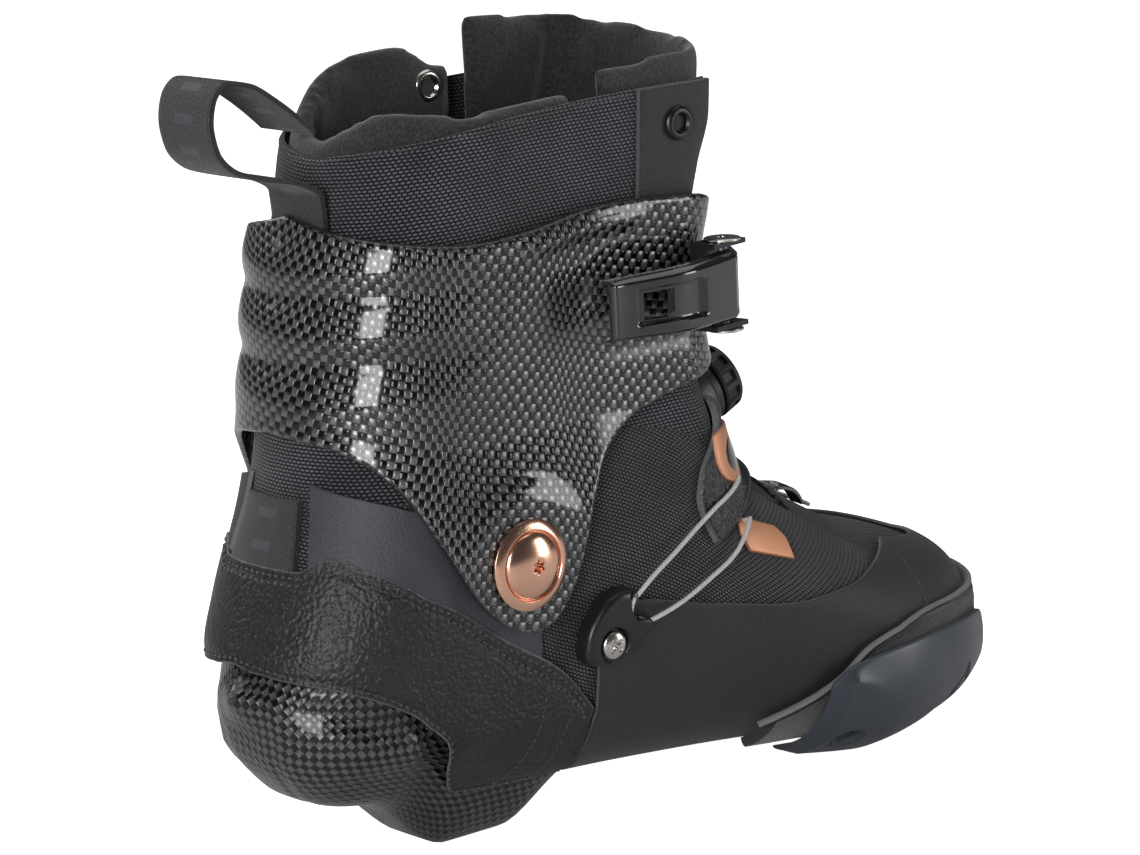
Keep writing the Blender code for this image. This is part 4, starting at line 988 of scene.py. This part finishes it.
def tag_place(u, v):
    """Parallelogram with its rear lower and front upper corners clipped."""
    high = np.interp(u, (0, 0.84, 1), (86.4, 80.2, 76.1))
    low = np.interp(u, (0, 0.1, 1), (81.2, 75.8, 70.3))
    return flank(1, mixed(164, 182.3, u), mixed(low, high, v))


made("side_badge", laid(tag_place, 50, 20, 0.2, GAP + 0.5, edge=0.35), copper_film, "boot", "copper",
     "side_tag")

# ---- lace dial ----
# Ratchet dial that winds the lace: a moulded base riveted to the throat shield, a steel spool, and a
# rubber-coated knob with grip pockets that pulls out along its axis to let the lace go.


def frame_on(point, normal, along=(0, 0, 1), lift=0.0):
    """Placing frame in metres with Z on the normal and X as near as possible to the given direction."""
    z = Vector([float(c) for c in normal]).normalized()
    x = Vector(along)
    x = (x - z * x.dot(z)).normalized()
    origin = Vector([float(c) for c in point]) + z * lift
    return Matrix.Translation(origin * MM) @ Matrix((x, z.cross(x), z)).transposed().to_4x4()


def turned(profile, place, segments=64, shape=None):
    """Solid of revolution about the frame's Z from (radius, height) pairs, bottom to top."""
    bm = bmesh.new()
    verts = [bm.verts.new((max(r, 0) * MM, 0, h * MM)) for r, h in profile]
    edges = [bm.edges.new(pair) for pair in zip(verts[:-1], verts[1:])]
    if profile[0][0] > 0:
        edges.append(bm.edges.new((verts[-1], verts[0])))
    bmesh.ops.spin(bm, geom=verts + edges, cent=(0, 0, 0), axis=(0, 0, 1), angle=2 * np.pi, steps=segments,
                   use_merge=True)
    bmesh.ops.remove_doubles(bm, verts=bm.verts[:], dist=0.000002)
    for vert in bm.verts if shape else []:
        shape(vert)
    bmesh.ops.transform(bm, matrix=place, verts=bm.verts[:])
    return bm


DIAL_RADIUS = 11.5
DIAL_ANGLE, DIAL_HEIGHT = 177.0, 115.0
seat_point, seat_normal = leg_at(np.array(DIAL_ANGLE), np.array(DIAL_HEIGHT))
dial = frame_on(seat_point, seat_normal, (0, 1, 0), SHIELD + 1.2 + GAP + 3.0)
dial_grey = moulded("dial_plastic", (0.012, 0.012, 0.013), (0.028, 0.028, 0.03), 0.38)
soft_rubber = moulded("soft_rubber", (0.0085, 0.0088, 0.0095), (0.022, 0.022, 0.024), 0.5, 900.0, 0.00005)
made("dial_housing", turned([(0, -5.0), (12.9, -5.0), (12.9, 0.4), (12.4, 1.3), (11.3, 2.0), (11.2, 4.2),
                             (10.7, 4.6), (8.4, 4.6), (8.4, 1.8), (0, 1.8)], dial, 72), dial_grey, "boot",
     "black_plastic", "dial_base")
nodes["dial_spool"].data.materials[0] = steel


def grip_pockets(vert):
    """Twelve sunk pockets round the knob's side, with ribs between, and a shallow dish in its face."""
    r, h = vert.co.xy.length / MM, vert.co.z / MM
    share = (np.arctan2(vert.co.y, vert.co.x) / (2 * np.pi) * 12) % 1
    sunk = smooth((share - 0.14) / 0.1) * smooth((0.86 - share) / 0.1)
    if 6.4 < h < 11.2 and r > DIAL_RADIUS - 1.5:
        vert.co.xy *= (r - 1.1 * sunk) / r
    if h > 12.2 and r < 9.6:
        vert.co.z -= 0.7 * MM * smooth((9.6 - r) / 1.5)


side_line = [(DIAL_RADIUS - 0.05 * k, h) for k, h in enumerate(np.linspace(6.3, 11.3, 12))]
made("dial_knob_grip", turned([(0, 8.2), (3.0, 8.2), (3.0, 5.0), (10.4, 5.0), (11.2, 5.3),
                               (11.5, 5.9)] + side_line + [(10.8, 12.2), (10.2, 12.9), (9.6, 13.0),
                                                           (8.0, 13.0), (4.0, 13.0), (0, 13.0)], dial, 168,
                              grip_pockets), soft_rubber, "knob", "soft_rubber", "dial_knob", sharp=42)

# ---- lace guides, laces and vamp loops ----
# Horned guides of hard plastic screwed to the sides turn the lace; its coated steel wire runs from the
# shield through each guide and back, and a short length zigzags through two leather loops on the vamp.
LACE_X = curve((0, 164), (0.12, 149), (0.25, 132), (0.36, 119), (0.44, 114), (0.5, 113.2), (0.56, 115.5),
               (0.66, 127), (0.78, 142), (0.9, 156), (1, 166))
LACE_Z = curve((0, 97.5), (0.12, 91), (0.25, 83), (0.36, 76), (0.44, 71.5), (0.5, 67.5), (0.56, 64.5),
               (0.66, 66.5), (0.78, 71), (0.9, 77), (1, 84.5))
LACE_LIFT = curve((0, SHIELD + 2.4), (0.14, SHIELD + 2.4), (0.4, OVER + 4.4), (0.6, OVER + 4.4),
                  (0.86, SHIELD + 2.4), (1, SHIELD + 2.4))
HORNS = curve((3, 15.8), (14, 11.2), (26, 10.2), (38, 10.6), (45, 14.2), (67, 12.8), (95, 10.8), (142, 8.6),
              (191, 10.2), (221, 12.4), (245, 10.8), (270, 9.8), (298, 9.0), (330, 10.6), (351, 13.4),
              (363, 15.8))
lace_wire = cloth("lace_wire", 0.0009, 0.0006, 0.5, (0.5, 0.5, 0.48), (0.85, 0.84, 0.81), turn=35,
                  depth=0.00015, rough=0.45)
nickel = metal("nickel", (0.66, 0.63, 0.58), 0.14)
for side, word in ((1, "lateral"), (-1, "medial")):
    def guide_place(u, v, side=side):
        turn = np.radians(3 + 360 * u)
        reach = HORNS(3 + 360 * u) * v
        return flank(side, 107 + reach * np.cos(turn), 64.5 + reach * np.sin(turn))

    def guide_outer(u, v):
        turn = np.radians(3 + 360 * u)
        x, z = HORNS(3 + 360 * u) * v * np.cos(turn), HORNS(3 + 360 * u) * v * np.sin(turn)
        seat = smooth((5.6 - np.hypot(x, z + 4)) / 1.0)
        slot = smooth((1.1 - np.abs(np.hypot(x - 17, z - 9) - 10.2)) / 0.5) * smooth((4.5
                - np.abs(z - 6)) / 0.8)
        return OVER + GAP + 4.7 - 0.9 * smooth((v - 0.8) * 5) - 1.9 * seat - 1.6 * slot
    made("lace_guide_horned_" + word, laid(guide_place, 168, 26, OVER - 0.2, guide_outer, edge=0.7, loop=True,
                                           pole=True), moulded("guide_plastic_" + word, (0.006, 0.006, 0.007),
         (0.016, 0.016, 0.018), 0.3, 700.0), "boot", "black_plastic", "lace_guide_" + word)
    p, n = flank(side, 107.0, 60.5)

    def cross_slots(vert):
        """Phillips recess: two crossed grooves that taper to the middle."""
        x, y, r = vert.co.x / MM, vert.co.y / MM, vert.co.xy.length / MM
        if vert.co.z > 1.0 * MM and r < 2.6 and min(abs(x), abs(y)) < 0.62:
            vert.co.z -= 1.3 * MM * (1 - r / 3.4)

    rings = [(4.2 * np.sin(a), 0.8 + 1.5 * np.cos(a)) for a in np.linspace(np.pi / 2, 0, 22)]
    made("guide_screw_head_" + word, turned([(0, -1.5), (4.2, -1.5)] + rings,
                                            frame_on(p, n, (1, 0, 1), OVER + 4.0), 96, cross_slots), nickel,
         "boot", "steel", "guide_screw_" + word)
    t = np.linspace(0, 1, 90)
    points, normals = flank(side, LACE_X(t), LACE_Z(t))
    path = points + normals * LACE_LIFT(t)[:, None]
    ends = np.array([normals[0], normals[-1]]) * 3.0
    path = np.concatenate([[path[0] - ends[0]], path, [path[-1] - ends[1]]])
    normals = np.concatenate([normals[:1], normals, normals[-1:]])
    lace = made("lace_run_" + word, tube(path, normals, 1.4, 1.4), lace_wire, "boot", "lace_wire",
                "lace_" + word)

    def loop_place(u, v, side=side):
        """Leather loop over the vamp, arched where the lace passes beneath."""
        return over(mixed(209.5, 222.5, u) - 1.5 * side, 10.0 * side + mixed(-4.6, 4.6, v))
    made("lace_loop_" + word, laid(loop_place, 34, 18, lambda u, v: 0.2 + 2.3 * np.sin(np.pi * u) ** 0.8,
                                   lambda u, v: 1.4 + 2.3 * np.sin(np.pi * u) ** 0.8, edge=0.5),
         grain_leather, "boot", "grain_leather", "vamp_loop_" + word)
t = np.linspace(0, 1, 70)
points, normals = over(mixed(206, 228, t), 15 * np.cos(2 * np.pi * t) * (1 - 0.5 * t))
path = points + normals * 1.7
front_lace = made("lace_run_front", tube(path, normals, 1.4, 1.4), lace_wire, "boot", "lace_wire",
                  "lace_front")

# ---- hinged cuff and its pivots ----
# One-piece carbon cuff under thick clear lacquer, ribbed behind and raised along its upper front edge.
# It turns on a bush at each ankle under a copper washer and a button-head screw.
CUFF_IN, CUFF_WALL = OVER + 1.1, 2.2
CUFF_OUT = CUFF_IN + CUFF_WALL
PIVOT_X, PIVOT_Z = 77.0, 90.0
CUFF_TOP = curve((0, 192), (25, 187), (64, 184), (90, 185), (131, 189), (150, 187), (160, 183), (168, 180))
CUFF_FOOT = curve((0, 131), (20, 128), (30, 123), (40, 113), (50, 96), (58, 82), (66, 75), (74, 71),
                  (83, 69.5), (92, 71.5), (99, 77), (105, 85), (113, 101), (124, 116), (157, 134),
                  (168, 138))
# the lighter colour here is the painted sheen on the tows that lie on top
carbon_clear = carbon("carbon_clear", 0.0023, 12, (0.003, 0.003, 0.0035), (0.16, 0.163, 0.17), 0.16, 0.7,
                      0.0004)
pivot_point, pivot_inner = flank(1, PIVOT_X, PIVOT_Z)[0], flank(-1, PIVOT_X, PIVOT_Z)[0]


def cuff_place(u, v):
    angle = mixed(-168, 168, u)
    return leg_at(angle, mixed(CUFF_FOOT(np.abs(angle)), CUFF_TOP(np.abs(angle)), v))


def cuff_relief(u, v):
    """Outer height: two grooves behind, a raised lip along the upper front, a sunk seat for the buckle."""
    angle = np.abs(mixed(-168, 168, u))
    z = mixed(CUFF_FOOT(angle), CUFF_TOP(angle), v)
    behind = smooth((78 - angle) / 34)
    grooves = bump_at(z, 169.5 + 0.05 * angle, 3.4) + bump_at(z, 150.5 + 0.06 * angle, 3.4)
    lobes = bump_at(z, 160, 5.5) + bump_at(z, 141, 6) + 0.7 * bump_at(z, 179, 5)
    lip = bump_at(z, CUFF_TOP(angle) - 5.0, 2.6) * smooth((angle - 84) / 14) * smooth((142 - angle) / 10)
    seat = smooth((angle - 116) / 16) * smooth((z - 138) / 11) * smooth((182 - z) / 11)
    fold = bump_at(z, 108 + 0.62 * angle, 9) * bump_at(angle, 76, 17)
    return CUFF_OUT - 0.9 * grooves * behind + 0.7 * lobes * behind + 1.4 * lip - 0.8 * seat + 0.9 * fold


def cuff_flats(p, top):
    """Flat seats round both pivots, so that the washers lie square to the hinge's axis."""
    reach = np.hypot(p[:, 0] - pivot_point[0], p[:, 2] - pivot_point[2])
    weight = smooth((27 - reach) / 9)
    lift = CUFF_OUT if top else CUFF_IN
    wall = np.where(p[:, 1] < 0, pivot_point[1] - lift, pivot_inner[1] + lift)
    p[:, 1] = mixed(p[:, 1], wall, weight)
    return p


made("cuff_shell", laid(cuff_place, 300, 74, lambda u,
                        v: np.minimum(cuff_relief(u, v) - CUFF_WALL, CUFF_IN), cuff_relief, edge=1.1,
                        level=True, shape=cuff_flats), carbon_clear, "cuff_assembly", "carbon_clear",
     "cuff")
copper = metal("copper", (0.86, 0.5, 0.36), 0.16, 0.1)
for side, word, p in ((1, "lateral", pivot_point), (-1, "medial", pivot_inner)):
    seat = frame_on(p, (0, -side, 0))
    nodes["pivot_bush_" + word].data.materials[0] = steel
    top = CUFF_OUT + 0.1
    made("pivot_washer_ring_" + word, turned(
        [(9.2, top), (13.2, top), (13.4, top + 0.2), (13.4, top + 1.0), (13.1, top + 1.3), (10.9, top + 2.2),
         (10.6, top + 2.2), (10.3, top + 1.9), (10.2, top + 1.3), (9.2, top + 1.2)], seat, 96), copper,
        "boot", "copper", "pivot_washer_" + word)

    def socket(vert):
        """Six-lobed drive socket in the middle of the button."""
        r = vert.co.xy.length / MM
        lobe = 1.9 + 0.35 * np.cos(6 * np.arctan2(vert.co.y, vert.co.x))
        if 0.01 < r < 2.6 and vert.co.z > (top + 1.0) * MM and abs(r - 2.0) < 0.5:
            vert.co.xy *= lobe / r
    button = [(9.9 * np.sin(a), top + 1.5 + 3.2 * (np.cos(a) ** 1.15 if np.cos(a) > 0 else 0))
              for a in np.linspace(np.pi / 2, 0.26, 20)]
    made("pivot_button_" + word, turned([(0, top - 0.1), (9.9, top - 0.1),
                                         (9.95, top + 1.3)] + button + [(2.0, top + 4.5), (2.0, top + 2.4),
            (0, top + 2.2)], seat, 96, socket), copper, "boot", "copper", "pivot_screw_" + word)

# ---- collar: mesh, padded lining, upper tongue, eyelets and pull loop ----
# The mesh collar stands up out of the cuff round a padded neoprene lining that rolls over inside; the
# upper tongue is a raw-edged neoprene pad, and a webbing loop is sewn to the back.
COLLAR_TOP = curve((0, 208), (40, 212), (80, 216), (130, 219), (153, 220))


def collar_place(u, v):
    angle = mixed(-153, 153, u)
    return leg_at(angle, mixed(128, COLLAR_TOP(np.abs(angle)), v))


made("collar_shaft_mesh", laid(collar_place, 150, 60, -SKIN - 1.0, -0.9), ballistic, "cuff_assembly",
     "mesh_fabric", "collar_mesh")
stitched("collar_edge_stitching", -0.85, "cuff_assembly", seam(collar_place, "top", 1.4, 0.02, 0.98, 300),
         slot="mesh_fabric", thick=0.5, pitch=1.9, long=1.6)


def lining_place(u, v):
    angle = mixed(-132, 125, u)
    rise = 3 + 12 * smooth(-angle / 75) - 9 * smooth((-angle - 112) / 18) + 10 * bump_at(angle, 30, 34)
    return leg_at(angle, mixed(134, COLLAR_TOP(np.abs(angle)) + rise, v))


def inflated(bm, name, cell, cap, pressure=4.0, finish=neoprene):
    """Sewn foam pad: remeshed, then blown up by a cloth simulation, but by no more than the cap."""
    mesh = bpy.data.meshes.new(name)
    bm.to_mesh(mesh)
    bm.free()
    pad = bpy.data.objects.new(name, mesh)
    bpy.context.scene.collection.objects.link(pad)
    remesh = pad.modifiers.new("remesh", "REMESH")
    remesh.mode = "VOXEL"
    remesh.voxel_size = cell
    soften = pad.modifiers.new("soften", "SMOOTH")
    soften.factor, soften.iterations = 0.5, 12
    pad.data = bpy.data.meshes.new_from_object(pad.evaluated_get(bpy.context.evaluated_depsgraph_get()))
    pad.modifiers.clear()
    rest = np.array([v.co for v in pad.data.vertices])
    cloth_sim = pad.modifiers.new("Cloth", "CLOTH")
    cloth_sim.settings.use_pressure = True
    cloth_sim.settings.uniform_pressure_force = pressure
    cloth_sim.settings.effector_weights.gravity = 0
    cloth_sim.settings.quality = 6
    for still in range(1, 21):
        bpy.context.scene.frame_set(still)
    blown = pad.evaluated_get(bpy.context.evaluated_depsgraph_get())
    moved = np.array([v.co for v in blown.data.vertices]) - rest
    pad.modifiers.clear()
    bpy.context.scene.frame_set(1)
    far = np.linalg.norm(moved, axis=1, keepdims=True)
    moved = moved * np.minimum(1, cap / np.maximum(far, 1e-9))
    for vert, at in zip(pad.data.vertices, rest + moved):
        vert.co = at
    skin = pad.modifiers.new("finer", "SUBSURF")
    skin.levels = skin.render_levels = 1
    pad.data.shade_smooth()
    pad.data.materials.clear()
    pad.data.materials.append(finish)
    return pad


lining = inflated(laid(lining_place, 120, 40, lambda u, v: -10.6 + 1.2 * smooth(v * 8 - 7), lambda u,
                       v: -SKIN - 2.6 - 0.4 * smooth(v * 8 - 7), edge=2.6), "collar_lining_pad", 0.0022,
                  0.0012)
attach(lining, "cuff_assembly")
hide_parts("collar_lining")


def tongue_place(u, v):
    return leg_at(mixed(131, 225, u), mixed(139, 233, v) + 6 * (2 * u - 1) * v)


tongue = inflated(laid(tongue_place, 44, 46, -9.0, -SKIN - 1.0 - GAP - 2.0, edge=2.4), "upper_tongue_pad",
                  0.0022, 0.0014)
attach(tongue, "cuff_assembly")
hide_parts("tongue_upper")
for side, word in ((1, "lateral"), (-1, "medial")):
    def tab_place(u, v, side=side):
        return leg_at(side * mixed(140, 153.4, u), mixed(170, 219.5, v))
    made("eyelet_facing_" + word, laid(tab_place, 16, 40, -1.2, 0.4, edge=0.5), microfibre, "cuff_assembly",
         "microfibre", "eyelet_tab_" + word)
    stitched("eyelet_facing_stitching_" + word, 0.4, "cuff_assembly",
             seam(tab_place, "left", 1.3, 0.02, 0.98), slot="microfibre", thick=0.4)
RING = [(2.6, -2.2), (2.9, -2.2), (2.9, -0.2), (5.0, -0.2), (5.1, 0.3), (4.7, 0.9), (4.0, 1.25), (3.2, 1.1),
        (2.6, 0.4)]
p, n = leg_at(147.5, 208.0)
made("eyelet_ring_lateral", turned(RING, frame_on(p, n, lift=0.9), 56), black_steel, "cuff_assembly",
     "black_steel", "eyelet_lateral")
p, n = leg_at(-122.0, 218.0)
made("eyelet_ring_medial", turned(RING, frame_on(p, -n, lift=10.6), 56), nickel, "cuff_assembly", "steel",
     "eyelet_medial")
LOOP_X = (36.9, 40.4, 40.5, 33.0, 22.5, 12.0, 6.5, 5.0, 6.5, 11.5, 19.0, 28.0, 35.0, 40.0)
LOOP_Z = (176.0, 190.0, 198.5, 203.5, 206.0, 209.5, 215.5, 223.0, 230.0, 234.0, 232.5, 227.0, 221.5, 217.0)
loop_x = curve(*zip(np.linspace(0, 1, 14), LOOP_X))
loop_z = curve(*zip(np.linspace(0, 1, 14), LOOP_Z))


def webbing_place(u, v):
    x, z = loop_x(u), loop_z(u)
    dx, dz = loop_x(u + 0.004) - loop_x(u - 0.004), loop_z(u + 0.004) - loop_z(u - 0.004)
    run = np.hypot(dx, dz)
    y = mixed(-12.5, 12.5, v)
    arc = 0.016 * y ** 2 * curve((0, 1.0), (0.25, 0.0), (1, 0.0))(u)
    base = np.array([-3.6, 0, 0]) - ORIGIN + np.stack([x + arc, y, z], -1)
    return base, np.stack([-dz / run, 0 * x, dx / run], -1)


made("pull_loop_webbing", laid(webbing_place, 150, 22, -0.75, 0.75, edge=0.5), webbing, "cuff_assembly",
     "webbing", "pull_loop")

# ---- ratchet buckle and ladder strap ----
# Blackened steel base riveted to the cuff, a glossy moulded lever that swings on a steel axle with a
# round cheek at each end, and a toothed plastic strap that wraps the front of the cuff to its rivet.
BUCKLE_WIDTH, STRAP_Z, STRAP_WIDTH = 26.0, 160.0, 18.0
half = BUCKLE_WIDTH / 2
p, n = leg_at(141.0, STRAP_Z)
lean = np.radians(11)
buckle = frame_on(p, (np.sin(lean), -np.cos(lean), 0), (1, 0, 0), CUFF_OUT + 4.2)


def local(x, y, z):
    return buckle @ Matrix.Translation(Vector((x, y, z)) * MM)


for word in ("buckle_mount", "buckle_base"):
    nodes[word].data.materials[0] = black_steel
nodes["buckle_axle"].data.materials[0] = steel
nodes["buckle_pawl"].data.materials[0] = steel
AXLE_ALONG, AXLE_OUT = 21, 5.6
across = local(AXLE_ALONG, 0, AXLE_OUT) @ Matrix.Rotation(np.pi / 2, 4, "X")
for word, at in (("lower", -half - 0.9), ("upper", half + 0.1)):
    cheek = [(1.5, 0), (5.2, 0), (5.5, 0.2), (5.5, 0.7), (5.2, 0.9), (3.2, 0.9), (2.9, 0.7), (1.5, 0.7)]
    made("axle_cheek_" + word, turned(cheek, across @ Matrix.Translation((0, 0, at * MM)), 56), nickel,
         "cuff_assembly", "steel")


def lever_place(u, v):
    """Lever plate: from the rounded nose at the axle to the tapered free end behind it."""
    x = mixed(24.2, -30.0, u)
    y = mixed(half - 2.1, half - 4.0, u ** 0.8) * mixed(-1, 1, v)
    crown = 8.6 + 1.6 * np.sin(np.pi * u) - 6.0 * smooth((u - 0.45) / 0.55) - 2.2 * smooth((0.1 - u) * 10)
    cheek = 1.9 * smooth((np.abs(2 * v - 1) - 0.82) / 0.18)
    scoop = 1.7 * smooth((u - 0.36) / 0.08) * smooth((0.86 - u) / 0.03) * smooth((0.6
            - np.abs(2 * v - 1)) / 0.12)
    point = np.stack([x, y, crown - cheek - scoop], -1)
    turn = np.array(buckle.to_3x3())
    return point @ turn.T + np.array(buckle.translation) / MM, np.broadcast_to(turn[:, 2], point.shape)


def window(u, v):
    opening = (u > 0.6) & (u < 0.8) & (np.abs(2 * v - 1) < 0.44)
    slots = (u < 0.085) & (u > 0.02) & (np.abs(np.abs(2 * v - 1) - 0.72) < 0.1)
    return opening | slots


lever = made("buckle_lever_shell", laid(lever_place, 110, 60, 0.0, 2.6, edge=0.6, hole=window), black_gloss,
             "lever", "black_plastic", "buckle_lever", sharp=45)


def strap_place(u, v):
    return leg_at(mixed(165, 236, u), STRAP_Z + STRAP_WIDTH / 2 * mixed(-1, 1, v) + 0 * u)


def strap_outer(u, v):
    """Saw teeth across the middle of the strap, between two plain edges."""
    teeth = (u * 26) % 1
    ladder = smooth((0.74 - np.abs(2 * v - 1)) / 0.06) * smooth((0.8 - u) / 0.03)
    return CUFF_OUT + GAP + 2.0 - 0.9 * ladder * (1 - teeth)


made("ladder_strap_toothed", laid(strap_place, 240, 20, CUFF_OUT + GAP + 0.2, strap_outer, edge=0.5),
     moulded("strap_plastic", (0.008, 0.008, 0.009), (0.02, 0.02, 0.022), 0.28), "cuff_assembly",
     "strap_plastic", "ladder_strap")
nodes["strap_rivet"].data.materials[0] = nickel

# ---- pale studio: floor, soft light and camera ----
# A wide floor that is plain white to the camera, a large overhead softbox, a window-shaped softbox beside the
# camera for the streaks on the lacquer, and a long lens from behind the outer side.
floor_finish, tree, shader = surface("studio_floor", roughness=0.75, specular_ior_level=0.1)
tree.links.new(tint(tree, use(tree, HANDLED, place_of(tree), 0.8)[0], (0.86, 0.86, 0.865),
                    (0.88, 0.88, 0.88)), shader.inputs["Base Color"])
shader.inputs["Emission Color"].default_value = (1, 1, 1, 1)
tree.links.new(tree.nodes.new("ShaderNodeLightPath").outputs["Is Camera Ray"],
               shader.inputs["Emission Strength"])
bm = bmesh.new()
bmesh.ops.create_grid(bm, x_segments=2, y_segments=2, size=9.0)
bmesh.ops.translate(bm, vec=(0, 0, -0.0002), verts=bm.verts[:])
floor_mesh = bpy.data.meshes.new("studio_floor")
bm.to_mesh(floor_mesh)
bm.free()
floor_mesh.materials.append(floor_finish)
floor = bpy.data.objects.new("studio_floor", floor_mesh)
bpy.context.scene.collection.objects.link(floor)
world = bpy.data.worlds.new("studio")
world.use_nodes = True
world.node_tree.nodes["Background"].inputs["Color"].default_value = (0.92, 0.95, 1.0, 1)
world.node_tree.nodes["Background"].inputs["Strength"].default_value = 0.07
bpy.context.scene.world = world
middle = Vector((0.055, 0.0, 0.12))
for name, place, size, power in (("overhead", (0.25, 0.35, 1.9), (2.6, 2.2), 17.0),
                                 ("window", (-1.25, -0.85, 0.46), (0.5, 0.7), 15.0),
                                 ("front", (1.3, -1.2, 0.35), (0.5, 0.9), 9.0),
                                 ("behind", (-0.3, 1.6, 1.1), (1.6, 0.9), 9.0)):
    data = bpy.data.lights.new(name, "AREA")
    data.shape = "RECTANGLE"
    data.size, data.size_y = size
    data.energy = power
    lamp = bpy.data.objects.new("light_" + name, data)
    lamp.location = place
    lamp.rotation_euler = (middle - lamp.location).to_track_quat("-Z", "Y").to_euler()
    bpy.context.scene.collection.objects.link(lamp)
bpy.context.scene.view_settings.view_transform = "Standard"
turn, rise, roll = np.radians((50.0, 12.2, -2.7))
ahead = np.array([np.cos(turn) * np.cos(rise), np.sin(turn) * np.cos(rise), -np.sin(rise)])
right = np.array([np.sin(turn), -np.cos(turn), 0.0])
up = np.array([np.cos(turn) * np.sin(rise), np.sin(turn) * np.sin(rise), np.cos(rise)])
right_rolled = right * np.cos(roll) + up * np.sin(roll)
up_rolled = -right * np.sin(roll) + up * np.cos(roll)
aim = Vector((-0.013, -0.048, 0.090))                   # the outer pivot
SIDE_SHIFT, RISE_SHIFT, DISTANCE = 0.0100, 0.0344, 1.143
ray = ahead - right_rolled * SIDE_SHIFT - up_rolled * RISE_SHIFT
eye = Vector(np.array(aim) - ray * DISTANCE)
camera_data = bpy.data.cameras.new("camera")
camera_data.sensor_width = 36.0
camera_data.lens = 126.3                                # long lens: 16 degrees across the frame
camera = bpy.data.objects.new("camera", camera_data)
camera.matrix_world = Matrix(np.stack([right_rolled, up_rolled, -ahead], 1).tolist()).to_4x4()
camera.location = eye
bpy.context.scene.collection.objects.link(camera)
bpy.context.scene.camera = camera
